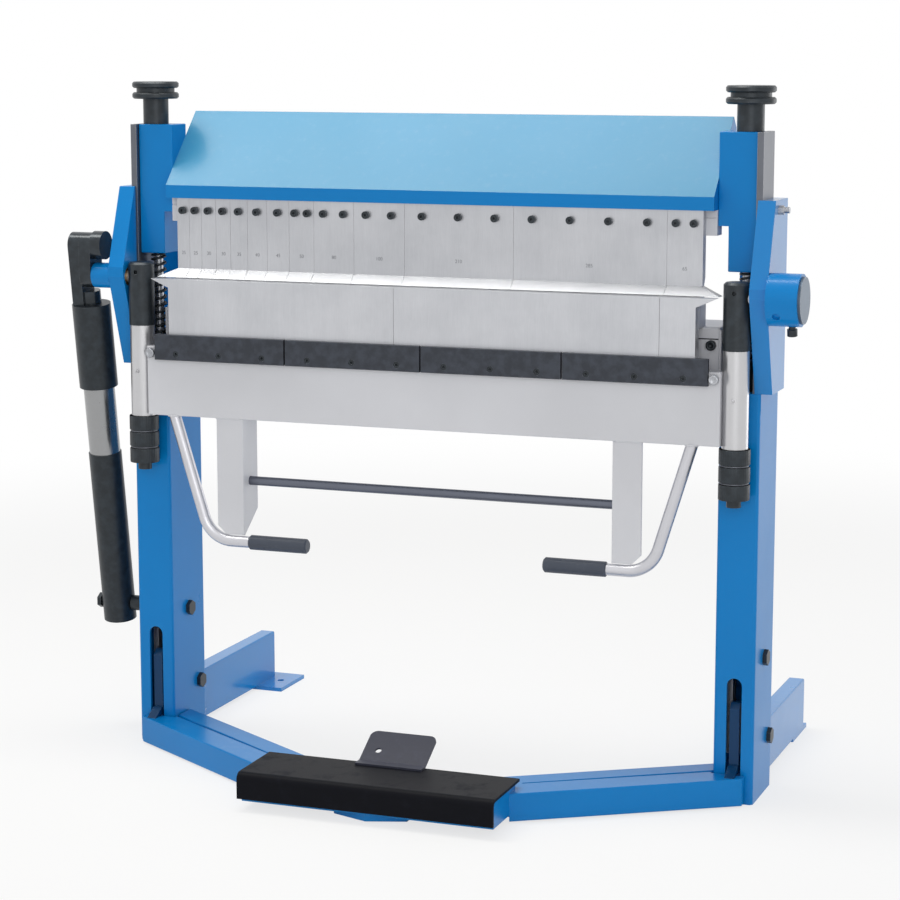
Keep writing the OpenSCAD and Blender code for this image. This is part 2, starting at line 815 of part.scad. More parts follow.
arm_top = pedal_z + arm_h;
arm_gap = 3;
arm_over = 22;
arm_end_x = side_x + arm_over;
arm_end_y = column_front - arm_gap;
joint_back = 9;
joint_x = inner_x - arm_gap;
joint_y = column_front + joint_back;
joint_deep = 8;
arm_wall = 5;
joint_rib = 22;
tread_inset = 4;
bar_inset = 13;
bar_x_end = tread_w / 2 - tread_inset;
bar_front_y = bar_inset - tread_front;
bar_back_y = tread_d - tread_front - bar_inset;
bar_lap = 5;
vee_w = 70;
vee_h = 12;
vee_reach = 24;

// The two arms of a side lie along one slope: the joint between them, the front and the back edge
function joint_line(x) = joint_y - tan(arm_angle) * (joint_x - x);
function front_line(x) = joint_line(x) - arm_w / cos(arm_angle);
function back_line(x) = joint_line(x) + brace_w / cos(arm_angle);
function back_line_x(y) = joint_x - (back_line(joint_x) - y) / tan(arm_angle);

// Pressed channels, open below; the inside leaves a wall on each edge and a web under the joint
module pedal_arm() {
    lap_y = bar_back_y - bar_lap;
    wall = arm_wall / cos(arm_angle);
    far_x = arm_end_x - arm_wall;
    difference() {
        translate([0, 0, pedal_z]) linear_extrude(arm_h) polygon([
            [arm_end_x, arm_end_y], [arm_end_x, front_line(arm_end_x)],
            [bar_x_end, front_line(bar_x_end)], [bar_x_end, lap_y], [back_line_x(lap_y), lap_y],
            [joint_x, back_line(joint_x)], [joint_x, arm_end_y]]);
        translate([0, 0, pedal_z - eps]) linear_extrude(arm_h - joint_deep - arm_wall) {
            polygon([[bar_x_end + arm_wall, front_line(bar_x_end + arm_wall) + wall],
                     [far_x, front_line(far_x) + wall], [far_x, arm_end_y - arm_wall],
                     [joint_x - arm_gap, arm_end_y - arm_wall],
                     [joint_x - arm_gap, joint_line(joint_x) - joint_rib],
                     [bar_x_end + arm_wall, joint_line(bar_x_end + arm_wall) - wall]]);
            polygon([[bar_x_end + arm_wall, joint_line(bar_x_end + arm_wall) + wall],
                     [joint_x - arm_wall, joint_line(joint_x - arm_wall) + wall],
                     [joint_x - arm_wall, back_line(joint_x - arm_wall) - wall],
                     [bar_x_end + arm_wall, back_line(bar_x_end + arm_wall) - wall]]);
        }
        translate([0, 0, arm_top - joint_deep]) linear_extrude(joint_deep + eps) polygon([
            for (x = [bar_x_end, joint_x]) [x, joint_line(x) - arm_joint],
            for (x = [joint_x, bar_x_end]) [x, joint_line(x) + arm_joint]]);
    }
}

module pedal_frame() {
    color(BLUE) placed() {
        both_sides() pedal_arm();
        difference() {
            block([-bar_x_end - eps, bar_front_y, pedal_z + vee_h],
                  [bar_x_end + eps, bar_back_y, tread_z - tread_t]);
            both_sides() block([vee_w, bar_front_y + arm_wall, pedal_z],
                               [bar_x_end - arm_wall, bar_back_y - arm_wall - bar_lap,
                                tread_z - tread_t - arm_wall]);
        }
        translate([0, 0, pedal_z]) linear_extrude(vee_h + eps) polygon([
            [-vee_w, bar_front_y + vee_reach], [0, bar_front_y], [vee_w, bar_front_y + vee_reach],
            [vee_w, bar_back_y], [-vee_w, bar_back_y]]);
    }
}

lever_r = pedal_pivot_y - rod_y;
pin_reach = norm([lever_r, lift]);
boss_room = 1;
boss_r = column_back - column_wall - boss_room - pedal_pivot_y;
lug_len = 20;
lever_front = 4;
lever_heel = 16;

// Plate in the column's slot: on the arm in front, round the pivot bolt behind, slotted for the yoke pin
module pedal_lever() {
    pin_d = yoke_pin_d + 2 * pin_play;
    lug_y = column_front + column_wall;
    difference() {
        union() {
            along_x(side_x - lever_t / 2, side_x + lever_t / 2) polygon([
                [lever_front, arm_top], [column_front, arm_top + lever_heel], [lug_y, arm_top + lever_heel],
                [lug_y, lug_z - lug_len / 2], [lug_y + lug_len / 2, lug_z], [lug_y + lug_len, lug_z],
                [pedal_pivot_y, pedal_pivot_z + boss_r], [pedal_pivot_y, pedal_pivot_z - boss_r],
                [arm_end_y, arm_top]]);
            x_bar(side_x - lever_t / 2, side_x + lever_t / 2, pedal_pivot_y, pedal_pivot_z, 2 * boss_r);
        }
        x_bar(inner_x, outer_x, pedal_pivot_y, pedal_pivot_z, pivot_bolt_d + 2 * run_fit);
        for (r = [lever_r, pin_reach]) x_bar(inner_x, outer_x, pedal_pivot_y - r, pedal_pivot_z, pin_d);
        block([inner_x, pedal_pivot_y - pin_reach, pedal_pivot_z - pin_d / 2],
              [outer_x, pedal_pivot_y - lever_r, pedal_pivot_z + pin_d / 2]);
    }
}

module pedal_levers() { color(BLUE) placed() both_sides() pedal_lever(); }

tread_round = 14;

// Bent plate: level top, rounded front edge and a skirt
module pedal_tread() {
    y = tread_round - tread_front;
    z = tread_z - tread_round;
    color(BLACK) placed() along_x(-tread_w / 2, tread_w / 2) {
        translate([y, tread_z - tread_t]) square([tread_d - tread_round, tread_t]);
        translate([-tread_front, tread_z - skirt_h]) square([tread_t, skirt_h - tread_round]);
        intersection() {
            translate([y, z]) difference() {
                circle(r = tread_round);
                circle(r = tread_round - tread_t);
            }
            translate([-tread_front, z]) square(tread_round);
        }
    }
}

toe_plate_t = 4;
toe_plate_round = 14;
toe_plate_hole = 12;
toe_plate_lap = 22;

// Bent plate: a level lap on the tread and a slope with rounded upper corners
module toe_plate() {
    w = toe_plate_w / 2;
    r = toe_plate_round;
    lap_y = tread_d - tread_front;
    t = toe_plate_t;
    bend = t * tan(toe_plate_angle / 2);
    up = [cos(toe_plate_angle), sin(toe_plate_angle)];
    out = [-sin(toe_plate_angle), cos(toe_plate_angle)];
    foot = [lap_y, tread_z];
    color("#55585f") placed() difference() {
        along_x(-w, w) polygon([
            foot - [toe_plate_lap, 0], foot, foot + toe_plate_len * up, foot + toe_plate_len * up + t * out,
            foot + [-bend, t], foot + [-toe_plate_lap, t]]);
        translate([0, lap_y, tread_z]) rotate([toe_plate_angle, 0, 0]) translate([0, 0, -t])
            linear_extrude(3 * t) {
                both_sides() translate([w - r, toe_plate_len - r]) difference() {
                    square(r + 1);
                    circle(r);
                }
                translate([2 * r - w, 2 * r]) circle(d = toe_plate_hole);
            }
    }
}

// Folding apron

cap_bore = 8;
cap_screw_drop = 18;
shaft_in_cap = 14;

module hinge_caps() {
    color(BLACK) placed() both_sides() difference() {
        translate([side_x, 0, bend_z - cap_down]) union() {
            cylinder(d = cap_d, h = cap_down + cap_up - cap_round);
            translate([0, 0, cap_down + cap_up - cap_round])
                cylinder(d1 = cap_d, d2 = cap_d - 2 * cap_round, h = cap_round);
        }
        translate([side_x, 0, bend_z - cap_down - eps])
            cylinder(d = spindle_d + 2 * run_fit, h = spindle_in_cap);
        x_bar(side_x + shaft_in_cap, side_x + cap_d, 0, bend_z, shaft_d + 2 * run_fit);
        translate([side_x, -cap_d / 2 - eps, bend_z + cap_up - cap_screw_drop]) rotate([-90, 0, 0])
            cylinder(d = cap_bore, h = cap_bore);
    }
}

cap_round = 4;
spindle_in_cap = 60;

// Right-hand shaft ends in the stop disc, left-hand shaft in the crank arm
module pivot_shafts() {
    start = side_x + shaft_in_cap;
    color(STEEL) placed() {
        x_bar(start, plate_end_x + face_gap + collar_len, 0, bend_z, shaft_d);
        mirror([1, 0, 0]) x_bar(start, crank_x + crank_t, 0, bend_z, shaft_d);
    }
}

module spindles() {
    color(STEEL) placed() both_sides() translate([side_x, 0, spindle_low])
        cylinder(d = spindle_d, h = bend_z - cap_down + spindle_in_cap - spindle_low);
}

hub_len = 22;
hub_d = 54;

// Flat arm with round ends on the left shaft, with the hub of the strut's pin on its inner face
module crank_arm() {
    color(BLACK) placed() mirror([1, 0, 0]) difference() {
        union() {
            block([crank_x, -crank_w / 2, bend_z], [crank_x + crank_t, crank_w / 2, bend_z + crank_r]);
            for (z = [bend_z, bend_z + crank_r]) x_bar(crank_x, crank_x + crank_t, 0, z, crank_w);
            x_bar(crank_x - hub_len, crank_x + eps, 0, bend_z + crank_r, hub_d);
        }
        x_bar(crank_x - eps, crank_x + crank_t + eps, 0, bend_z, shaft_d + 2 * run_fit);
    }
}

// The ends of the plate are hollowed to lie against the tubes
module apron_plate() {
    color(GREY) placed() difference() {
        block([-side_x, blade_front, apron_low], [side_x, blade_front + apron_t, blade_low]);
        both_sides() translate([side_x, 0, apron_low - eps])
            cylinder(d = tube_d + 2 * run_fit, h = apron_h + 2 * eps);
        both_sides() block([side_x - tube_d / 2 + tube_lap, blade_front - eps, apron_low - eps],
                           [side_x + eps, blade_front + apron_t + eps, blade_low + eps]);
    }
}

tube_lap = 2;

blade_split_x = -55;
segment_x = [blade_split_x, row_x - last_w];
segment_gap = 0.3;

// Three segments on the apron plate, the outer two with pointed toes
module bending_blade() {
    top = bend_z - blade_gap;
    edges = concat([-row_x], segment_x, [row_x]);
    color(STEEL) placed() {
        for (i = [0 : 2])
            block([edges[i] + (i == 0 ? 0 : segment_gap), blade_front, blade_low],
                  [edges[i + 1] - (i == 2 ? 0 : segment_gap), blade_front + blade_t, top]);
        both_sides() along_y(blade_front, blade_front + blade_t) polygon([
            [row_x - eps, top], [row_x + toe_len, top], [row_x - eps, top - toe_h]]);
    }
}

strip_count = 4;
strip_screws_each = 3;
strip_w = (2 * (row_x + strip_over) - (strip_count - 1) * strip_gap) / strip_count;
strip_low = blade_low - strip_h / 2;
function strip_left(i) = -row_x - strip_over + i * (strip_w + strip_gap);

module strip_screw_row() {
    for (i = [0 : strip_count - 1], k = [0 : strip_screws_each - 1])
        translate([strip_left(i) + strip_w * (k + 0.5) / strip_screws_each, blade_front - strip_t,
                   strip_low + strip_h * strip_screw_up]) rotate([-90, 0, 0]) children();
}

strip_screw_up = 0.25;
strip_screw_d = 12;
strip_screw_sink = 4;
strip_screw_low = 1;

module clamp_strips() {
    color(BLACK) placed() difference() {
        for (i = [0 : strip_count - 1])
            block([strip_left(i), blade_front - strip_t, strip_low],
                  [strip_left(i) + strip_w, blade_front, strip_low + strip_h]);
        strip_screw_row() translate([0, 0, -eps]) cylinder(d = strip_screw_d, h = strip_t + 2 * eps);
    }
}

module strip_screws() {
    color(STEEL) placed() strip_screw_row() translate([0, 0, strip_screw_low]) difference() {
        cylinder(d = strip_screw_d - 2 * run_fit, h = strip_t - strip_screw_low);
        translate([0, 0, -eps]) cylinder(d = socket_d, h = strip_screw_sink, $fn = 6);
    }
}

nipple_d = 8;
nipple_len = 10;

module end_tubes() {
    color(CHROME) placed() both_sides() {
        translate([side_x, 0, tube_low]) difference() {
            cylinder(d = tube_d, h = tube_len);
            translate([0, 0, -eps]) cylinder(d = spindle_d + 2 * run_fit, h = tube_len + 2 * eps);
        }
        translate([side_x, 0, tube_low + tube_len / 2]) rotate([90, 0, 0]) difference() {
            union() {
                cylinder(d = nipple_d, h = tube_d / 2 + nipple_len / 2);
                cylinder(d1 = nipple_d, d2 = nipple_d / 2, h = tube_d / 2 + nipple_len);
            }
            translate([0, 0, -eps]) cylinder(d = nipple_d + 1, h = tube_d / 2 - 1);
        }
    }
}

post_set_back = 4;
post_front = blade_front + post_set_back;
post_foot = 43;
post_corner = 18;
post_up = 90;
web_clear = 9;
web_back = column_front - web_clear;

// Angle section: a flange in front, its outer corner cut off beside the handle's bend, and a web behind it
// that also runs up behind the apron plate
module post() {
    low = apron_low - post_h;
    back = post_front + post_d;
    x0 = post_x - post_w;
    along_y(post_front, post_front + post_t) polygon([
        [x0, low], [post_x - post_corner, low], [post_x, low + post_corner], [post_x, apron_low],
        [x0, apron_low]]);
    difference() {
        along_x(x0 - post_t, x0 + eps) polygon([
            [post_front, low], [post_front + post_t, low], [back, low + post_foot],
            [back, apron_low - post_t], [web_back, apron_low + post_t], [web_back, apron_low + post_up],
            [blade_front + apron_t, apron_low + post_up], [blade_front + apron_t, apron_low],
            [post_front, apron_low]]);
        x_bar(x0 - 2 * post_t, x0 + post_t, tie_y, apron_low - tie_drop, tie_d + 2 * run_fit);
    }
}

tie_y = 10;

module posts() { color(GREY) placed() both_sides() post(); }

module tie_rod() {
    end_x = post_x - post_w;
    color(BLACK) placed() x_bar(-end_x, end_x, tie_y, apron_low - tie_drop, tie_d);
}

handle_y = blade_front + apron_t / 2;
handle_z = apron_low - handle_drop;
turn = 90 - handle_angle;
bend_start = handle_bend * tan(turn / 2);
corner_x = handle_x - handle_drop * tan(handle_angle);
bend_x = corner_x - bend_start;

// Straight run down from the apron, a bend, and a level run into the grip; the bend swells a little
module handle() {
    run = handle_drop / cos(handle_angle) - bend_start + bend_lap;
    level_end = grip_x + grip_wall;
    translate([handle_x, handle_y, apron_low]) rotate([0, 180 + handle_angle, 0])
        cylinder(d = handle_d, h = run);
    translate([bend_x, handle_y, handle_z + handle_bend]) rotate([90, 0, 0]) rotate([0, 0, -90])
        rotate_extrude(angle = turn) translate([handle_bend, 0]) circle(d = handle_d + 2 * bend_swell);
    x_bar(level_end, bend_x + bend_lap, handle_y, handle_z, handle_d);
}

bend_lap = 2;
bend_swell = 0.2;
grip_wall = 4;

module handles() {
    color(GREY) placed() difference() {
        both_sides() handle();
        block([-side_x, handle_y - handle_d, apron_low], [side_x, handle_y + handle_d, apron_low + handle_d]);
    }
}

grip_round = 3;

module grips() {
    r = grip_d / 2;
    color(BLACK) placed() both_sides() translate([grip_x, handle_y, handle_z]) rotate([0, 90, 0])
        difference() {
            rotate_extrude() polygon([[0, 0], [r - grip_round, 0], [r, grip_round],
                [r, grip_len - grip_round], [r - grip_round, grip_len], [0, grip_len]]);
            translate([0, 0, grip_wall]) cylinder(d = handle_d + 2 * run_fit, h = grip_len);
        }
}

ring_h = 4;
ring_deep = 2;
nut_bands = 3;

// Two knurled nuts on the spindle, with bright grooves between them
module adjuster_nut() {
    band = (nut_h - (nut_bands - 1) * ring_h) / nut_bands;
    translate([side_x, 0, nut_top - nut_h]) difference() {
        union() {
            cylinder(d = nut_d - 2 * ring_deep, h = nut_h);
            for (i = [0 : nut_bands - 1]) translate([0, 0, i * (band + ring_h)])
                cylinder(d = nut_d, h = band);
        }
        translate([0, 0, -eps]) cylinder(d = spindle_d + 2 * run_fit, h = nut_h + 2 * eps);
    }
}

module left_adjuster_nut() { color(BLACK) placed() mirror([1, 0, 0]) adjuster_nut(); }

module right_adjuster_nut() { color(BLACK) placed() adjuster_nut(); }

// Strut, drawn upright over its pin and then leaned towards the crank pin

module leaned() {
    translate([-strut_x, bolt_y, bolt_z]) rotate([strut_lean, 0, 0]) children();
}

barrel_in_tube = 60;
barrel_in_sleeve = 46;
barrel_top = sleeve_low + barrel_in_sleeve;
sleeve_cap = 12;
neck_len = 26;
strut_neck_d = 40;
strut_plug = 40;
barrel_bore = 46;

module strut_tube() {
    color(BLACK) placed() leaned() difference() {
        translate([0, 0, -strut_tube_low]) cylinder(d = strut_tube_d, h = strut_tube_low + strut_tube_up);
        translate([0, 0, strut_tube_up - barrel_in_tube])
            cylinder(d = barrel_d + 2 * run_fit, h = barrel_in_tube + eps);
        translate([0, 0, strut_plug]) cylinder(d = barrel_bore, h = strut_tube_up);
        x_bar(-strut_tube_d, strut_tube_d, 0, 0, bolt_d + 2 * run_fit);
    }
}

module strut_barrel() {
    len_z = barrel_top - strut_tube_up + barrel_in_tube;
    color(CHROME) placed() leaned() translate([0, 0, strut_tube_up - barrel_in_tube]) difference() {
        cylinder(d = barrel_d, h = len_z);
        translate([0, 0, -eps]) cylinder(d = barrel_bore, h = len_z + 2 * eps);
    }
}

module strut_sleeve() {
    color(BLACK) placed() leaned() translate([0, 0, sleeve_low]) difference() {
        cylinder(d = sleeve_d, h = sleeve_len);
        translate([0, 0, -eps]) cylinder(d = barrel_d + 2 * run_fit, h = sleeve_len - sleeve_cap);
    }
}

// Neck on the sleeve, cut flat beside the crank arm and ending in an eye with its pin stub
module strut_eye() {
    top = sleeve_low + sleeve_len;
    x1 = strut_x - eye_x;
    color(BLACK) placed() leaned() {
        translate([0, 0, top]) cylinder(d = strut_neck_d, h = neck_len);
        intersection() {
            block([x1 - eye_t, -crank_w / 2, top], [x1, crank_w / 2, strut_len]);
            translate([0, 0, top]) cylinder(d = sleeve_d, h = strut_len - top);
        }
        x_bar(x1 - eye_t, x1, 0, strut_len, crank_w);
        x_bar(x1 - eye_t - pin_end, x1, 0, strut_len, crank_pin_d);
    }
}

pin_end = 4;

collar_screw_d = 14;
collar_screw_deep = 5;
collar_screw_angle = 35;
lock_angle = 100;
lock_out = 6;
lock_head_d = 18;
lock_head_h = 12;

// Collar on the right shaft with a set screw seat, and a threaded hole for the lock screw
module stop_collar() {
    x0 = plate_end_x + face_gap;
    color(BLUE) placed() difference() {
        x_bar(x0, x0 + collar_len, 0, bend_z, collar_d);
        x_bar(x0 - eps, x0 + collar_len + eps, 0, bend_z, shaft_d + 2 * run_fit);
        radial(x0 + collar_len / 3, collar_screw_angle)
            translate([0, 0, collar_d / 2 - collar_screw_deep]) cylinder(d = collar_screw_d, h = collar_d);
        radial(x0 + collar_len * 2 / 3, lock_angle) cylinder(d = lock_d + 2 * run_fit, h = collar_d);
    }
}

// Turns an upright piece to stand out from the bend line at an angle below the front
module radial(x, angle) {
    translate([x, 0, bend_z]) rotate([90 + angle, 0, 0]) children();
}

module stop_disc() {
    x0 = plate_end_x + face_gap + collar_len;
    color(STEEL) placed() x_bar(x0, x0 + disc_t, 0, bend_z, collar_d - 2 * disc_t);
}

module lock_screw() {
    x0 = plate_end_x + face_gap + collar_len * 2 / 3;
    tip = shaft_d / 2 + face_gap;
    head = collar_d / 2 + lock_out;
    color(BLACK) placed() radial(x0, lock_angle) {
        translate([0, 0, tip]) cylinder(d = lock_d, h = head - tip);
        translate([0, 0, head]) cylinder(d = lock_head_d, h = lock_head_h);
    }
}

// Fingers from left to right

module finger_01() { finger(0); }
module finger_02() { finger(1); }
module finger_03() { finger(2); }
module finger_04() { finger(3); }
module finger_05() { finger(4); }
module finger_06() { finger(5); }
module finger_07() { finger(6); }
module finger_08() { finger(7); }
module finger_09() { finger(8); }
module finger_10() { finger(9); }
module finger_11() { finger(10); }
module finger_12() { finger(11); }
module finger_13() { finger(12); }

left_column();
right_column();
rear_feet();
bed_beam();
base_blade();
left_pivot_plate();
right_pivot_plate();
guide_bars();
pivot_bushes();
rod_bushes();
return_springs();
column_bolts();
stop_bolt();
upper_beam();
carriers();
finger_rail();
finger_01();
finger_02();
finger_03();
finger_04();
finger_05();
finger_06();
finger_07();
finger_08();
finger_09();
finger_10();
finger_11();
finger_12();
finger_13();
finger_screws();
guide_rods();
clamp_yokes();
left_knob();
right_knob();
pedal_frame();
pedal_levers();
pedal_tread();
toe_plate();
hinge_caps();
pivot_shafts();
spindles();
crank_arm();
apron_plate();
bending_blade();
clamp_strips();
strip_screws();
end_tubes();
posts();
tie_rod();
handles();
grips();
left_adjuster_nut();
right_adjuster_nut();
strut_tube();
strut_barrel();
strut_sleeve();
strut_eye();
stop_collar();
stop_disc();
lock_screw();
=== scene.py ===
"""Sheet metal folder: finishes, springs, rounded edges, welds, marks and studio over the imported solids."""
import json
import math

import bmesh
import bpy
import numpy as np
from mathutils import Matrix, Vector

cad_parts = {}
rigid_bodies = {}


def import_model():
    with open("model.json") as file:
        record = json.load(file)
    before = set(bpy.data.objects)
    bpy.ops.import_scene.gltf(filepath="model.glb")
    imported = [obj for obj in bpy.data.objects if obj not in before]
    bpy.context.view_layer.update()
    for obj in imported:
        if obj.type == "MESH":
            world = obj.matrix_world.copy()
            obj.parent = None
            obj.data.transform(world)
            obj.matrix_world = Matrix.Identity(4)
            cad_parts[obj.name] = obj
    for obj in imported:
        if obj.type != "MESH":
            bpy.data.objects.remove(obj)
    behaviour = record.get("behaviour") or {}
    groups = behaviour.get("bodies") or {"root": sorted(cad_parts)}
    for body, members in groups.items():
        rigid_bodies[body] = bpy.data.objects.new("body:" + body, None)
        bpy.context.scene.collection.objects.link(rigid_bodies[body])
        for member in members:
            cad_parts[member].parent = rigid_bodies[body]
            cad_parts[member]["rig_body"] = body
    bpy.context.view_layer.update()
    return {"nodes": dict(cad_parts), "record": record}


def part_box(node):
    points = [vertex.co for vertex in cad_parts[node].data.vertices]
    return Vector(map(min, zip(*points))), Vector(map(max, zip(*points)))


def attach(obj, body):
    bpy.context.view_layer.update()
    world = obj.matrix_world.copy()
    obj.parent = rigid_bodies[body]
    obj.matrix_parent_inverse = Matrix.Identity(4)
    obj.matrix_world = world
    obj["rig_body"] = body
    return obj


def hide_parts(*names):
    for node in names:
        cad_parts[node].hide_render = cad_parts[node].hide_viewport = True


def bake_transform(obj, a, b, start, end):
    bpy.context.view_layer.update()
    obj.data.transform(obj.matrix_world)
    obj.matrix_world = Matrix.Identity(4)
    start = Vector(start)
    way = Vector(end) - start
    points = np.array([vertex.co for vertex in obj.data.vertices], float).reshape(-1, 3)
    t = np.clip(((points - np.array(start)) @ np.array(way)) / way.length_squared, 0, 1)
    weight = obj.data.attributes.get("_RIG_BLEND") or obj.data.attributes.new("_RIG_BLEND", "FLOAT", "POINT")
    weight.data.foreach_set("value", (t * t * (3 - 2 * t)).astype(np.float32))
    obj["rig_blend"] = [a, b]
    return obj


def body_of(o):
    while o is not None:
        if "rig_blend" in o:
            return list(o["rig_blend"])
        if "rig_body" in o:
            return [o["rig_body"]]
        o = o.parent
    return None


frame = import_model()
nodes = frame["nodes"]

MM = 0.001

# Camera, as the photograph shows the machine
EYE = (1.606, -4.721, 1.361)
TARGET = (0.0458, -0.520, 0.6215)
LENS = 99.36

# Measures that the finishes share, in metres
EDGE_ROUND = 0.9 * MM
WORN_EDGE = 2.2 * MM
BEVEL_RAYS = 4

# Where a step starts and ends: the turn of an edge, and the height of a direction that looks up
EDGE_TURN = (0.02, 0.25)
LOOKS_UP = (0.35, 0.95)

# The curve between screen and linear colours: its straight start, that part's slope, its offset and its power
SCREEN_KNEE = 0.04045
SCREEN_SLOPE = 12.92
SCREEN_OFFSET = 0.055
SCREEN_POWER = 2.4

SIDES = (("left", -1), ("right", 1))

# Rays that show the white ground and air as they are
SHOWN_RAYS = ("Camera", "Glossy", "Transmission")


def tone(red, green, blue):
    """A colour as seen on a screen, 0 to 255, turned into the linear colour that a shader takes."""
    seen = np.array([red, green, blue]) / 255
    curve = ((seen + SCREEN_OFFSET) / (1 + SCREEN_OFFSET)) ** SCREEN_POWER
    linear = np.where(seen <= SCREEN_KNEE, seen / SCREEN_SLOPE, curve)
    return (*linear.tolist(), 1.0)


def scaled(colour, share):
    """A colour made darker or lighter by a share of itself."""
    return tuple(share * part for part in colour[:3]) + (1,)


class Wire:
    """A value on its way through a material; arithmetic on it adds Math nodes."""

    def __init__(self, sheet, socket):
        self.sheet = sheet
        self.socket = socket

    def _math(self, operation, first, second):
        return self.sheet.node("ShaderNodeMath", {"operation": operation}, {0: first, 1: second})

    def __add__(self, other):
        return self._math("ADD", self, other)

    def __sub__(self, other):
        return self._math("SUBTRACT", self, other)

    def __rsub__(self, other):
        return self._math("SUBTRACT", other, self)

    def __mul__(self, other):
        return self._math("MULTIPLY", self, other)

    __radd__ = __add__
    __rmul__ = __mul__

    def above(self, low, high):
        """0 below low, 1 above high, with a smooth step between."""
        settings = {"interpolation_type": "SMOOTHSTEP"}
        return self.sheet.node("ShaderNodeMapRange", settings, {"Value": self, 1: low, 2: high})


class Sheet:
    """The nodes of a finish, or of the air, while it is being mixed."""

    def __init__(self, owner):
        self.owner = owner
        owner.use_nodes = True
        self.tree = owner.node_tree
        self.tree.nodes.clear()

    def node(self, kind, settings=None, sockets=None, out=0):
        """Adds a node: its settings first, then the values or wires of its sockets."""
        made = self.tree.nodes.new(kind)
        for key, value in (settings or {}).items():
            setattr(made, key, value)
        for key, value in (sockets or {}).items():
            if isinstance(value, Wire):
                self.tree.links.new(value.socket, made.inputs[key])
            else:
                made.inputs[key].default_value = value
        return Wire(self, made.outputs[out]) if made.outputs else None

    def noise(self, scale, detail=3.0, stretch=(1, 1, 1), rough=0.55):
        """Cloudy noise from 0 to 1; scale counts clouds per metre, stretch draws them out into lines."""
        place = self.node("ShaderNodeTexCoord", out="Object")
        place = self.node("ShaderNodeMapping", {}, {"Vector": place, "Scale": stretch})
        sockets = {"Vector": place, "Scale": scale, "Detail": detail, "Roughness": rough}
        return self.node("ShaderNodeTexNoise", {}, sockets)

    def mix(self, amount, first, second):
        """The first colour where amount is 0, the second where it is 1."""
        return self.node("ShaderNodeMix", {"data_type": "RGBA"}, {0: amount, 6: first, 7: second}, out=2)

    def rounded(self, radius):
        """The surface's direction as if every edge had this radius."""
        return self.node("ShaderNodeBevel", {"samples": BEVEL_RAYS}, {"Radius": radius})

    def edges(self, radius=WORN_EDGE):
        """1 along sharp edges, 0 on flat ground: how far the rounded direction turns from the true one."""
        true = self.node("ShaderNodeNewGeometry", out="Normal")
        vectors = {0: self.rounded(radius), 1: true}
        level = self.node("ShaderNodeVectorMath", {"operation": "DOT_PRODUCT"}, vectors, out="Value")
        return (1 - level).above(*EDGE_TURN)

    def upward(self):
        """1 on faces that look up, 0 on walls and undersides."""
        true = self.node("ShaderNodeNewGeometry", out="Normal")
        height = self.node("ShaderNodeSeparateXYZ", {}, {0: true}, out="Z")
        return height.above(*LOOKS_UP)

    def bumped(self, height, depth, edge=EDGE_ROUND):
        """The direction of a surface with softened edges and this relief, depth in metres."""
        sockets = {"Height": height, "Distance": depth, "Strength": 1.0, "Normal": self.rounded(edge)}
        return self.node("ShaderNodeBump", {}, sockets)

    def done(self, **sockets):
        """Feeds the shader's sockets, named with _ for a space, and returns the finished material."""
        named = {key.replace("_", " "): value for key, value in sockets.items()}
        shader = self.node("ShaderNodeBsdfPrincipled", {}, named, out="BSDF")
        self.node("ShaderNodeOutputMaterial", {}, {"Surface": shader})
        return self.owner

    def shown(self):
        """1 for what the lens sees straight, in gloss or through glass, 0 for light that fills."""
        rays = [self.node("ShaderNodeLightPath", out=f"Is {kind} Ray") for kind in SHOWN_RAYS]
        return (rays[0] + rays[1] + rays[2]).above(0, 1)


def new_finish(name):
    """An empty finish under this name."""
    return Sheet(bpy.data.materials.new(name))


# Finishes

RUBBED_STEEL = tone(226, 227, 230)
# Dark grey painted as shade on the tops of ground steel
PAINTED_TOP_SHADE = tone(60, 62, 66)


def enamel(name, colour, chip, dust, gloss=0.3, coat=0.12, painted_top_sheen=None):
    """Sprayed machine enamel: cloudy colour, dust on top, worn edges, orange peel under a clear coat.

    A painted sheen colour, when one is given, takes over on the faces that look up: a paler blue that stands
    in for the overhead lamp's sheen.
    """
    mix = new_finish(name)
    cloud = mix.noise(2.6, 4)
    paint = mix.mix(cloud.above(0.3, 0.75), scaled(colour, 0.9), colour)
    # Painted sheen: the faces that look up take the paler colour given, in place of the lamp's reflection
    if painted_top_sheen:
        paint = mix.mix(mix.upward(), paint, painted_top_sheen)
    # Dust that settles on the faces that look up
    top_dust_and_shade = mix.noise(60, 8, rough=0.7).above(0.5, 0.85) * mix.upward() * 0.14
    paint = mix.mix(top_dust_and_shade, paint, dust)
    scuff = mix.noise(260, 5, rough=0.7).above(0.52, 0.66) * mix.edges() * 0.6
    paint = mix.mix(scuff, paint, chip)
    smear = mix.noise(9, 5)
    rough = gloss + 0.12 * (smear - 0.5) + 0.25 * top_dust_and_shade + 0.2 * scuff
    peel = mix.noise(420, 2) - 0.6 * scuff
    return mix.done(Base_Color=paint, Roughness=rough, Normal=mix.bumped(peel, 0.04 * MM),
                    Coat_Weight=coat - 0.1 * scuff, Coat_Roughness=0.14, IOR=1.28)


def ground_steel(name, dark, light, stretch, grain=1.0, rough=0.34, top_dust_and_shade=0):
    """Surface-ground steel: fine grinding lines drawn along one way, faint stains and bright worn edges.

    A painted shade, a dark grey, darkens the faces that look up by the share given.
    """
    mix = new_finish(name)
    lines = mix.noise(1400, 3, stretch, rough=0.7)
    broad = mix.noise(70, 3, stretch)
    stain = mix.noise(6, 6, rough=0.6)
    shade = 0.3 * lines + 0.1 * broad + 0.6 * stain
    metal = mix.mix(shade.above(0.2, 0.8), dark, light)
    metal = mix.mix(mix.edges(1.4 * MM) * 0.6, metal, RUBBED_STEEL)
    # Painted shade: the faces that look up are darkened towards dark grey
    metal = mix.mix(mix.upward() * top_dust_and_shade, metal, PAINTED_TOP_SHADE)
    polish = rough + 0.14 * (lines - 0.5) + 0.12 * (stain - 0.5)
    return mix.done(Base_Color=metal, Roughness=polish, Metallic=0.82,
                    Normal=mix.bumped(lines, 0.02 * grain * MM, 0.6 * MM))


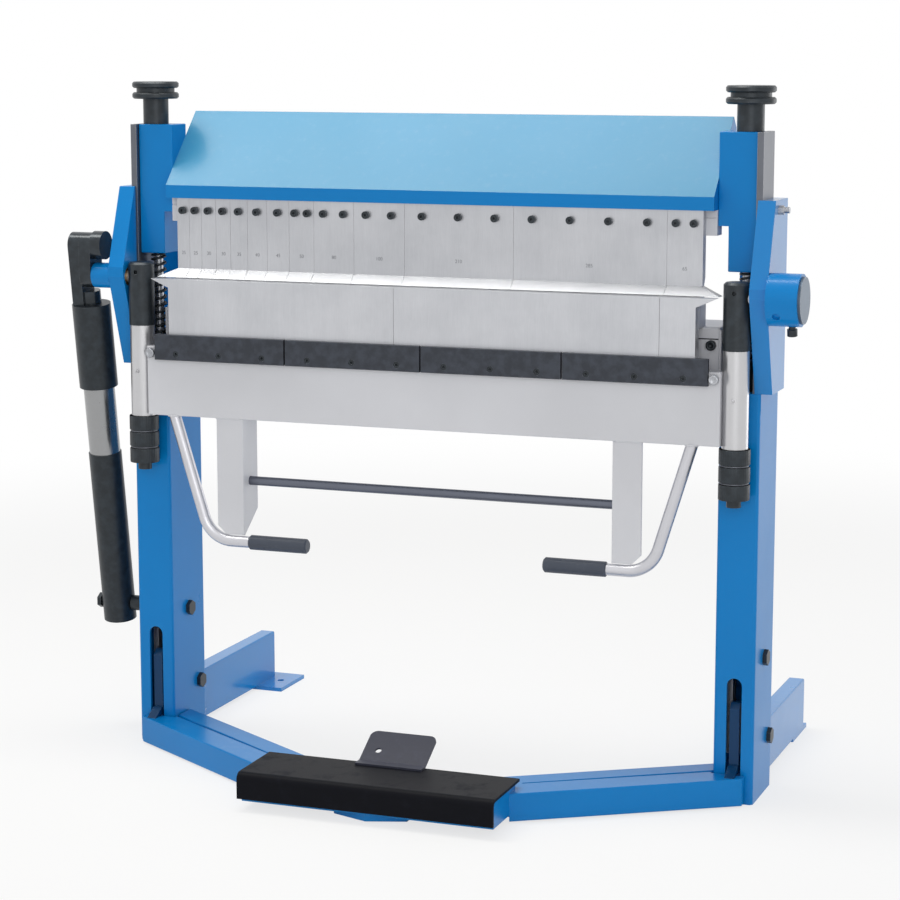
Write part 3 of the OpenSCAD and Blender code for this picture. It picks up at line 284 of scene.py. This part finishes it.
def oxide(name, colour, rub, rough=0.38):
    """Blackened steel: a soft mottled oil-black skin, rubbed to grey along its edges."""
    mix = new_finish(name)
    mottle = mix.noise(60, 5)
    skin = mix.mix(mottle.above(0.35, 0.7), colour, scaled(colour, 1.6))
    worn = mix.noise(320, 4, rough=0.7).above(0.4, 0.62) * mix.edges(1.6 * MM)
    skin = mix.mix(0.7 * worn, skin, rub)
    sheen = rough + 0.2 * (mottle - 0.5) - 0.1 * worn
    return mix.done(Base_Color=skin, Roughness=sheen, Metallic=0.35 + 0.5 * worn,
                    Normal=mix.bumped(mix.noise(700, 2), 0.03 * MM, 0.7 * MM))


def rubber(name, colour, pale, grain, depth, rough=0.5, shine=0.3):
    """Moulded rubber or plastic: fine pebbled skin, paler where shoes and hands have scuffed it."""
    mix = new_finish(name)
    pebble = mix.noise(grain, 3, rough=0.6)
    scuff = mix.noise(24, 6, rough=0.7).above(0.5, 0.78)
    wear = 0.35 * scuff + 0.45 * mix.edges(3 * MM)
    skin = mix.mix(wear, colour, pale)
    sheen = rough + 0.18 * (scuff - 0.4)
    return mix.done(Base_Color=skin, Roughness=sheen, Normal=mix.bumped(pebble, depth, 1.5 * MM),
                    Specular_IOR_Level=shine)


def plated(name, colour, rough, brush):
    """Plated tube or pin: bright metal with faint lengthwise draw marks, cloudy handling smears and pits."""
    mix = new_finish(name)
    draw = mix.noise(700, 2, brush, rough=0.6)
    smear = mix.noise(16, 5, rough=0.6)
    pits = mix.noise(380, 4).above(0.66, 0.74)
    metal = mix.mix(0.4 * smear + 0.25 * draw + 0.3 * pits, colour, scaled(colour, 0.72))
    sheen = rough + 0.18 * (smear - 0.4) + 0.2 * pits
    return mix.done(Base_Color=metal, Roughness=sheen, Metallic=0.9,
                    Normal=mix.bumped(draw - pits, 0.015 * MM, 0.6 * MM))


# Shapes worked out as arrays


def surface(name, grid, finish, body=None, joined=(True, False), capped=False):
    """A mesh over a grid of points, rows by columns by 3, its faces turned outwards.

    joined says whether the columns and the rows run round and meet; capped shuts the first and last row.
    """
    rows, columns = grid.shape[:2]
    along = np.arange(rows if joined[1] else rows - 1)
    about = np.arange(columns if joined[0] else columns - 1)
    row, column = np.meshgrid(along, about, indexing="ij")
    after = (row + 1) % rows
    beside = (column + 1) % columns
    corners = [row * columns + column, row * columns + beside,
               after * columns + beside, after * columns + column]
    faces = np.stack(corners, axis=-1).reshape(-1, 4).tolist()
    if capped:
        faces += [list(range(columns)), list(range((rows - 1) * columns, rows * columns))]
    mesh = bpy.data.meshes.new(name)
    mesh.from_pydata(grid.reshape(-1, 3).tolist(), [], faces)
    shape = bmesh.new()
    shape.from_mesh(mesh)
    bmesh.ops.recalc_face_normals(shape, faces=shape.faces)
    shape.to_mesh(mesh)
    shape.free()
    mesh.polygons.foreach_set("use_smooth", np.ones(len(faces), bool))
    mesh.materials.append(finish)
    piece = bpy.data.objects.new(name, mesh)
    bpy.context.scene.collection.objects.link(piece)
    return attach(piece, body) if body else piece


def carried(path, radius, sides=12):
    """Rings of a round bar along a path: each ring stands square to the path, at radius from it.

    The ring's two axes come from the path's run crossed with a fixed direction that it never follows.
    """
    run = np.gradient(path, axis=0)
    run /= np.linalg.norm(run, axis=1, keepdims=True)
    fixed = np.eye(3)[np.argmin(np.abs(run).max(axis=0))]
    side = np.cross(run, fixed)
    side /= np.linalg.norm(side, axis=1, keepdims=True)
    other = np.cross(run, side)
    turn = np.linspace(0, 2 * np.pi, sides, endpoint=False)[:, None]
    radius = np.broadcast_to(np.asarray(radius, float), len(path))[:, None, None]
    ring = side[:, None] * np.cos(turn) + other[:, None] * np.sin(turn)
    return path[:, None] + radius * ring


# Finishes of the solids

BLUE = tone(2, 132, 208)
PALE_DUST = tone(176, 202, 222)
PRIMER = tone(150, 176, 200)
STEEL_DARK = tone(174, 176, 181)
STEEL_LIGHT = tone(204, 205, 209)
ALONG_X = (0.03, 1, 1)
ALONG_Z = (1, 1, 0.03)
EVEN = (1, 1, 1)

finishes = {
    "blue_paint": enamel("blue_enamel", BLUE, PRIMER, PALE_DUST),
    "grey_paint": enamel("grey_enamel", tone(224, 225, 230), tone(166, 168, 172), tone(232, 232, 234), 0.34),
    # The fingers' tops get a painted shade, darkened towards dark grey
    "tool_steel": ground_steel("finger_steel", STEEL_DARK, STEEL_LIGHT, ALONG_Z, top_dust_and_shade=0.45),
    "bright_steel": ground_steel("turned_steel", tone(140, 143, 150), tone(196, 198, 202), EVEN, 0.6, 0.28),
    "black_oxide": oxide("oil_black", tone(36, 42, 47), tone(120, 124, 130)),
    "slate_strip": oxide("strip_slate", tone(50, 54, 62), tone(130, 134, 142), 0.46),
    "tread_black": rubber("tread_rubber", tone(14, 15, 21), tone(34, 37, 46), 900, 0.12 * MM, 0.55, 0.08),
    "toe_grey": rubber("toe_paint", tone(60, 62, 75), tone(90, 92, 106), 600, 0.06 * MM, 0.46, 0.2),
    "tube_silver": plated("tube_plate", tone(208, 208, 210), 0.3, ALONG_Z),
    "barrel_chrome": plated("barrel_plate", tone(164, 165, 166), 0.24, ALONG_Z),
    "bush_bronze": plated("bush_bronze", tone(176, 141, 87), 0.32, EVEN),
    "grip_rubber": rubber("grip_rubber", tone(74, 80, 92), tone(112, 117, 130), 700, 0.1 * MM, 0.5),
}
gloss_black = oxide("gloss_black", tone(40, 46, 51), tone(130, 134, 140), 0.2)
coated_blue = enamel("coated_blue", BLUE, PRIMER, PALE_DUST, coat=0.6)
dim_steel = ground_steel("dim_steel", tone(92, 95, 101), tone(118, 121, 129), ALONG_Z, rough=0.42)
special = {
    "guide_bars": dim_steel,
    # The cover's faces that look up get a painted sheen, a paler blue in their colour
    "upper_beam": enamel("cover_blue", BLUE, PRIMER, PALE_DUST, painted_top_sheen=tone(80, 153, 174)),
    "right_pivot_plate": coated_blue,
    "rear_feet": coated_blue,
    "crank_arm": gloss_black,
    "strut_eye": gloss_black,
    "bending_blade": ground_steel("blade_steel", tone(182, 184, 189), tone(212, 213, 217), ALONG_Z,
                                  rough=0.46),
    "stop_disc": ground_steel("disc_steel", tone(70, 82, 96), tone(104, 116, 130), EVEN, 0.6, 0.44),
    "spindles": finishes["black_oxide"],
    # The pedal levers sit in the columns' slots; their darker blue is painted shade for that recess
    "pedal_levers": enamel("lever_painted_shade_blue", tone(6, 60, 102), PRIMER, PALE_DUST),
    "tie_rod": plated("rod_slate", tone(112, 116, 128), 0.36, ALONG_X),
    "handles": plated("handle_silver", tone(214, 214, 219), 0.36, EVEN),
}
for row in frame["record"]["subparts"]:
    slots = nodes[row["node"]].data.materials
    slots.clear()
    slots.append(special.get(row["node"], finishes[row["material_slot"]]))


# Springs

SPRING_WIRE = 4.5 * MM
SPRING_TURNS = 13
TURN_POINTS = 40
WIRE_SIDES = 16
CLOSE_PITCH = SPRING_WIRE + 1 * MM


def return_spring(name, centre, radius, low, high):
    """One wire wound on a cylinder: angle grows evenly, height grows by the close pitch over the first
    and last turn and evenly between, and the wire's round section stands square to its run."""
    turns = np.linspace(0, SPRING_TURNS, SPRING_TURNS * TURN_POINTS + 1)
    knots = np.array([0, 1, SPRING_TURNS - 1, SPRING_TURNS])
    rise = high - low - SPRING_WIRE
    heights = low + SPRING_WIRE / 2 + np.array([0, CLOSE_PITCH, rise - CLOSE_PITCH, rise])
    angle = 2 * np.pi * turns
    across = radius - SPRING_WIRE / 2
    level = np.interp(turns, knots, heights)
    out = np.stack([np.cos(angle), np.sin(angle), 0 * angle], axis=1)
    path = across * out + np.stack([centre[0] + 0 * angle, centre[1] + 0 * angle, level], axis=1)
    run = np.gradient(path, axis=0)
    side = np.cross(run / np.linalg.norm(run, axis=1, keepdims=True), out)
    section = np.linspace(0, 2 * np.pi, WIRE_SIDES, endpoint=False)[:, None]
    rings = SPRING_WIRE / 2 * (out[:, None] * np.cos(section) + side[:, None] * np.sin(section))
    return surface(name, path[:, None] + rings, finishes["black_oxide"], capped=True)


def return_springs():
    """A spring round each guide rod, its foot on the frame and its head following the clamping beam."""
    low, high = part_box("return_springs")
    radius = (high.y - low.y) / 2
    for side, x in (("left", low.x + radius), ("right", high.x - radius)):
        spring = return_spring(f"{side}_return_spring", (x, low.y + radius), radius, low.z, high.z)
        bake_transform(spring, "frame", "clamp_beam", (x, low.y + radius, low.z), (x, low.y + radius, high.z))
        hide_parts("return_springs")


return_springs()


# Rounded edges of tubes, bent sheet and plates: each node's radius and the least length of a rounded edge

WELDED = 0.01 * MM
FLAT_TURN = math.radians(0.5)
SHARP_TURN = math.radians(25)
ROUND_STEPS = 3
ROUND_PROFILE = 0.5
COLUMN_ROUND = (5 * MM, 300 * MM)
FOOT_ROUND = (3 * MM, 300 * MM)
ARM_ROUND = (2.4 * MM, 250 * MM)
BED_ROUND = (3.5 * MM, 60 * MM)
PLATE_ROUND = (2 * MM, 30 * MM)
STRIP_ROUND = (1 * MM, 20 * MM)
rounded_nodes = {
    "left_column": COLUMN_ROUND, "right_column": COLUMN_ROUND, "rear_feet": FOOT_ROUND,
    "pedal_frame": ARM_ROUND, "bed_beam": BED_ROUND, "clamp_strips": STRIP_ROUND,
    "carriers": PLATE_ROUND, "left_pivot_plate": PLATE_ROUND, "right_pivot_plate": PLATE_ROUND,
    "apron_plate": PLATE_ROUND, "posts": PLATE_ROUND,
}


def rounded_copy(row, radius, least):
    """A solid with its long outer edges rounded: its triangles are welded, level ones joined, and every edge
    that is longer than least and turns outwards by a sharp angle is cut to an arc of this radius."""
    name = row["node"]
    solid = nodes[name]
    shape = bmesh.new()
    shape.from_mesh(solid.data)
    bmesh.ops.remove_doubles(shape, verts=shape.verts, dist=WELDED)
    bmesh.ops.dissolve_limit(shape, angle_limit=FLAT_TURN, verts=shape.verts, edges=shape.edges)
    long_edges = [edge for edge in shape.edges if edge.is_manifold and edge.calc_length() > least]
    sharp = [edge for edge in long_edges if edge.calc_face_angle_signed() > SHARP_TURN]
    bmesh.ops.bevel(shape, geom=sharp, offset=radius, offset_type="OFFSET", segments=ROUND_STEPS,
                    profile=ROUND_PROFILE, affect="EDGES", clamp_overlap=True)
    mesh = bpy.data.meshes.new(f"{name}_rounded")
    shape.to_mesh(mesh)
    shape.free()
    mesh.polygons.foreach_set("use_smooth", np.zeros(len(mesh.polygons), bool))
    mesh.materials.clear()
    mesh.materials.append(solid.data.materials[0])
    piece = bpy.data.objects.new(f"{name}_rounded", mesh)
    bpy.context.scene.collection.objects.link(piece)
    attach(piece, body_of(solid)[0])
    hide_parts(name)


for row in frame["record"]["subparts"]:
    if row["node"] in rounded_nodes:
        rounded_copy(row, *rounded_nodes[row["node"]])


# Turned and knurled details

RING_POINTS = 48
FLUTE_POINTS = 4
KNURL_PITCH = 4.4 * MM
KNURL_EDGE = 1.2 * MM
KNURL_PROUD = 0.25 * MM
NUT_BANDS = 3
NUT_GROOVE = 4 * MM
GROOVE_DEEP = 2 * MM
RING_PROUD = 0.4 * MM
RING_SUNK = 1 * MM


def turned(name, profile, centre, axis, finish, body, flutes=0, depth=0.0):
    """A profile turned round an axis: each profile point is (distance along the axis, radius), swept through
    a full turn; flutes make the radius rise and fall by depth that many times a turn, as knurling does."""
    reach, radius = np.asarray(profile, float).T
    turn = np.linspace(0, 2 * np.pi, max(RING_POINTS, FLUTE_POINTS * flutes), endpoint=False)
    wave = depth * np.cos(flutes * turn)
    grip = np.ptp(radius) > 0 and flutes > 0
    share = (radius - radius.min()) / np.ptp(radius) if grip else np.ones_like(radius)
    ring = radius[:, None] + share[:, None] * wave
    first, second = np.roll(np.eye(3), -axis, axis=0)[1:]
    along = reach[:, None, None] * np.eye(3)[axis]
    around = ring[..., None] * (np.cos(turn)[:, None] * first + np.sin(turn)[:, None] * second)
    return surface(name, np.asarray(centre) + along + around, finish, body, capped=True)


def knurled_band(name, node, body, low, high):
    """A knurled skin round a turned part between two heights, its edges rolled in to the part's radius."""
    corner, far = (np.array(point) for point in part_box(node))
    middle = (corner + far) / 2
    radius = (far[0] - corner[0]) / 2
    inner = radius - KNURL_PROUD
    outer = radius + KNURL_PROUD
    profile = [(low, inner), (low, radius), (low + KNURL_EDGE, outer),
               (high - KNURL_EDGE, outer), (high, radius), (high, inner)]
    flutes = int(np.pi * radius / KNURL_PITCH) * 2
    centre = (middle[0], middle[1], 0)
    return turned(name, profile, centre, 2, finishes["black_oxide"], body, flutes, KNURL_PROUD)


def adjuster_rings(side):
    """Knurling on the bands of an adjuster nut and a paler ring in each groove between them."""
    node = f"{side}_adjuster_nut"
    low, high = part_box(node)
    band = (high.z - low.z - (NUT_BANDS - 1) * NUT_GROOVE) / NUT_BANDS
    radius = (high.x - low.x) / 2 - GROOVE_DEEP
    centre = ((low.x + high.x) / 2, (low.y + high.y) / 2, 0)
    for i in range(NUT_BANDS):
        foot = low.z + i * (band + NUT_GROOVE)
        knurled_band(f"{side}_nut_knurl_{i}", node, f"{side}_nut", foot, foot + band)
    for i in range(NUT_BANDS - 1):
        foot = low.z + (i + 1) * band + i * NUT_GROOVE
        head = foot + NUT_GROOVE
        profile = [(foot, radius - RING_SUNK), (foot, radius + RING_PROUD),
                   (head, radius + RING_PROUD), (head, radius - RING_SUNK)]
        turned(f"{side}_nut_ring_{i}", profile, centre, 2, dim_steel, f"{side}_nut")


for side, _ in SIDES:
    adjuster_rings(side)


# Thumb screws that hold the ends of the clamp strips, and bolts and the seam of the bed

# Thumb screw: distances out from the apron in millimetres, and shares of the head's radius
THUMB_PROFILE = ((0, 0.55), (3, 0.55), (3.5, 0.93), (4.5, 1), (10.5, 1), (11.5, 0.93), (11.5, 0.6),
                 (10.3, 0.5), (10.3, 0.05))
THUMB_FLUTES = 26
THUMB_FLUTE_DEEP = 0.5 * MM
THUMB_SHARE = 0.42
# Socket bolt: shares of the head's height and of its radius
SOCKET_PROFILE = ((0, 1), (0.85, 1), (1, 0.85), (1, 0.5), (0.5, 0.45), (0.5, 0.03))
BED_BOLT_DROPS = (32 * MM, 118 * MM)
BED_BOLT_IN = 16 * MM
BED_BOLT_RADIUS = 9 * MM
BED_BOLT_HEIGHT = 8 * MM
SEAM_POINTS = 40
SEAM_SIDES = 8
SEAM_SHORT = 1 * MM
SEAM_DROP = 21 * MM
SEAM_RADIUS = 1.1 * MM


def thumb_screw(name, centre, radius, body):
    """A knurled head on the apron's face: neck, fluted rim, rolled edge and a dished middle."""
    profile = [(-out * MM, share * radius) for out, share in THUMB_PROFILE]
    steel = finishes["bright_steel"]
    return turned(name, profile, centre, 1, steel, body, THUMB_FLUTES, THUMB_FLUTE_DEEP)


def socket_bolt(name, centre, radius, height, body):
    """A socket-head bolt: straight head with a rolled edge and a hollow in its face."""
    profile = [(-out * height, share * radius) for out, share in SOCKET_PROFILE]
    return turned(name, profile, centre, 1, finishes["black_oxide"], body)


def apron_ends():
    """A thumb screw between each end of the strip row and the end tube."""
    strip_low, strip_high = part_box("clamp_strips")
    plate_low, plate_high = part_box("apron_plate")
    gap = plate_high.x - strip_high.x
    height = (strip_low.z + plate_high.z) / 2
    for side, sign in SIDES:
        centre = (sign * (strip_high.x + gap / 2), plate_low.y, height)
        thumb_screw(f"{side}_thumb_screw", centre, THUMB_SHARE * gap, "apron")


def bed_ends():
    """Two bolts that hold each end of the bed to its column, and the seam under the bed's top plate."""
    low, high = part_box("bed_beam")
    for side, sign in SIDES:
        for i, drop in enumerate(BED_BOLT_DROPS):
            place = (sign * (high.x - BED_BOLT_IN), low.y, high.z - drop)
            socket_bolt(f"{side}_bed_bolt_{i}", place, BED_BOLT_RADIUS, BED_BOLT_HEIGHT, "frame")
    across = np.linspace(low.x + SEAM_SHORT, high.x - SEAM_SHORT, SEAM_POINTS)
    path = np.stack([across, 0 * across + low.y, 0 * across + high.z - SEAM_DROP], axis=1)
    rings = carried(path, SEAM_RADIUS, SEAM_SIDES)
    surface("bed_seam", rings, finishes["black_oxide"], "frame", capped=True)


apron_ends()
bed_ends()


# Weld beads and finger numbers

RIPPLE = 0.14
BEAD_SIDES = 10
BED_WELD = 3 * MM
BED_WELD_SHORT = 4 * MM
POST_WELD = 2.2 * MM
HANDLE_WELD = 2 * MM
HANDLE_WELD_OUT = 0.6 * MM
ROD_WELD = 1.6 * MM
ROD_WELD_OUT = 0.4 * MM
HANDLE_X = 505 * MM
HANDLE_D = 22 * MM
POST_W = 49 * MM
NUMBER_SIZE = 9 * MM
NUMBER_RAISED = 0.05 * MM
NUMBER_HEIGHT = 965 * MM
ROW_END = 510 * MM
WIDTH_STEP = 5
etched = oxide("etched_mark", tone(112, 114, 119), tone(140, 142, 147), 0.5)


def bead(name, path, radius, finish, body, closed=False):
    """A weld run along a path: a round bar whose radius swells at each ripple, a ripple per two radii."""
    step = np.linalg.norm(np.diff(path, axis=0), axis=1)
    run = np.concatenate([[0], np.cumsum(step)])
    ripple = 1 + RIPPLE * np.abs(np.sin(np.pi * run / (2 * radius)))
    rings = carried(path, radius * ripple, BEAD_SIDES)
    return surface(name, rings, finish, body, (True, closed), capped=not closed)


def straight(start, end, pitch=0.8 * MM):
    """Evenly spaced points from start to end."""
    start, end = np.asarray(start, float), np.asarray(end, float)
    count = int(np.linalg.norm(end - start) / pitch) + 2
    return start + np.linspace(0, 1, count)[:, None] * (end - start)


def hoop(centre, radius, axis, pitch=0.6 * MM):
    """Evenly spaced points round a circle that stands square to an axis."""
    turn = np.linspace(0, 2 * np.pi, int(2 * np.pi * radius / pitch), endpoint=False)[:, None]
    first, second = np.roll(np.eye(3), -axis, axis=0)[1:]
    return np.asarray(centre) + radius * (np.cos(turn) * first + np.sin(turn) * second)


def weld_beads():
    """Welds: bed to columns, posts and handles to the apron, and tie rod to posts."""
    grey = finishes["grey_paint"]
    bed_low, bed_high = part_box("bed_beam")
    post_low, post_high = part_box("posts")
    plate_low, plate_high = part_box("apron_plate")
    rod_low, rod_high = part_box("tie_rod")
    middle_y = (plate_low.y + plate_high.y) / 2
    rod = ((rod_low.y + rod_high.y) / 2, (rod_low.z + rod_high.z) / 2)
    for side, sign in SIDES:
        for face, y in (("front", bed_low.y), ("back", bed_high.y)):
            foot = (sign * bed_high.x, y, bed_low.z + BED_WELD_SHORT)
            head = (sign * bed_high.x, y, bed_high.z - BED_WELD_SHORT)
            bead(f"{side}_bed_weld_{face}", straight(foot, head), BED_WELD, grey, "frame")
        inner = (sign * (post_high.x - POST_W), post_low.y, plate_low.z)
        outer = (sign * post_high.x, post_low.y, plate_low.z)
        bead(f"{side}_post_weld", straight(inner, outer), POST_WELD, grey, "apron")
        ring = hoop((sign * HANDLE_X, middle_y, plate_low.z), HANDLE_D / 2 + HANDLE_WELD_OUT, 2)
        bead(f"{side}_handle_weld", ring, HANDLE_WELD, grey, "apron", closed=True)
        ring = hoop((sign * rod_high.x, *rod), (rod_high.z - rod_low.z) / 2 + ROD_WELD_OUT, 0)
        bead(f"{side}_rod_weld", ring, ROD_WELD, grey, "apron", closed=True)


def stamped_number(name, text, place, finish, body):
    """A number as a thin raised mesh that faces the front, its middle at place."""
    letters = bpy.data.curves.new(name, "FONT")
    letters.body = text
    letters.size = NUMBER_SIZE
    letters.extrude = NUMBER_RAISED
    letters.align_x = "CENTER"
    letters.align_y = "CENTER"
    draft = bpy.data.objects.new(name + "_draft", letters)
    bpy.context.scene.collection.objects.link(draft)
    mesh = bpy.data.meshes.new_from_object(draft.evaluated_get(bpy.context.evaluated_depsgraph_get()))
    bpy.data.objects.remove(draft)
    mesh.name = name
    mesh.transform(Matrix.Translation(place) @ Matrix.Rotation(math.pi / 2, 4, "X"))
    mesh.materials.clear()
    mesh.materials.append(finish)
    piece = bpy.data.objects.new(name, mesh)
    bpy.context.scene.collection.objects.link(piece)
    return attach(piece, body)


def finger_numbers():
    """Each finger's width in millimetres, to the nearest step, on its face above the nose."""
    for name in sorted(node for node in nodes if node.startswith("finger_") and node[-1].isdigit()):
        low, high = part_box(name)
        left, right = max(low.x, -ROW_END), min(high.x, ROW_END)
        corners = np.array([vertex.co for vertex in nodes[name].data.vertices])
        face = corners[corners[:, 2] > high.z - MM, 1].min()
        width = str(round((right - left) / (WIDTH_STEP * MM)) * WIDTH_STEP)
        place = ((left + right) / 2, face, NUMBER_HEIGHT)
        stamped_number(f"{name}_width", width, place, etched, "clamp_beam")


weld_beads()
finger_numbers()


# Studio: white ground and air, one large lamp overhead, a soft fill in front and a rim lamp behind

WHITE = (1, 1, 1, 1)
FLOOR_GREY = (0.9, 0.9, 0.9, 1)
GLOW_REACH = (1.6, 3.6)
WARM = (1, 0.985, 0.93)


def white_air(fill):
    """The air: plain white to the lens, to gloss and to glass, and a dimmer fill on the machine."""
    air = Sheet(bpy.data.worlds.new("white_air"))
    strength = fill + (1 - fill) * air.shown()
    light = air.node("ShaderNodeBackground", {}, {"Color": WHITE, "Strength": strength})
    air.node("ShaderNodeOutputWorld", {}, {"Surface": light})
    bpy.context.scene.world = air.owner


def white_ground(reach, glow):
    """A flat pale floor that glows to the lens by part, so it stays white and still takes the shadow.

    The glow grows to the whole between two distances from the middle, where no shadow falls.
    """
    ground = new_finish("pale_floor")
    matt = ground.node("ShaderNodeBsdfDiffuse", {}, {"Color": FLOOR_GREY})
    glowing = ground.node("ShaderNodeEmission", {}, {"Color": WHITE, "Strength": 1.0})
    place = ground.node("ShaderNodeTexCoord", out="Object")
    distance = ground.node("ShaderNodeVectorMath", {"operation": "LENGTH"}, {0: place}, out="Value")
    share = (glow + (1 - glow) * distance.above(*GLOW_REACH)) * ground.shown()
    both = ground.node("ShaderNodeMixShader", {}, {0: share, 1: matt, 2: glowing})
    ground.node("ShaderNodeOutputMaterial", {}, {"Surface": both})
    across = np.array([-reach, reach])
    grid = np.stack(np.meshgrid(across, across, [0.0], indexing="xy"), axis=-1).reshape(2, 2, 3)
    surface("floor", grid, ground.owner, None, (False, False))


def lamp(name, place, aim, size, radiance, tint=(1, 1, 1)):
    """A soft oblong lamp; its power is what gives that radiance when it is seen in a mirror."""
    light = bpy.data.lights.new(name, "AREA")
    light.shape = "RECTANGLE"
    light.size, light.size_y = size
    light.color = tint
    light.energy = radiance * math.pi * size[0] * size[1]
    stand = bpy.data.objects.new(name, light)
    stand.location = place
    stand.rotation_euler = (Vector(aim) - Vector(place)).to_track_quat("-Z", "Y").to_euler()
    stand.visible_camera = False
    bpy.context.scene.collection.objects.link(stand)


def camera():
    """The lens where the photograph was taken from."""
    lens = bpy.data.cameras.new("camera")
    lens.lens = LENS
    stand = bpy.data.objects.new("camera", lens)
    stand.location = EYE
    stand.rotation_euler = (Vector(TARGET) - Vector(EYE)).to_track_quat("-Z", "Y").to_euler()
    bpy.context.scene.collection.objects.link(stand)
    bpy.context.scene.camera = stand


camera()
white_air(fill=0.55)
white_ground(reach=15, glow=0.72)
lamp("overhead", place=(-0.77, -0.56, 3.2), aim=(-0.25, -0.42, 1.1), size=(0.7, 2.4), radiance=8.5, tint=WARM)
lamp("front_fill", place=(1.7, -4.7, 2.1), aim=(0, -0.4, 0.7), size=(2.6, 2.6), radiance=1.75)
lamp("rim", place=(2.3, 2.0, 0.75), aim=(0.6, -0.45, 0.6), size=(1.4, 1.5), radiance=1.6)

bpy.context.scene.view_settings.view_transform = "Standard"
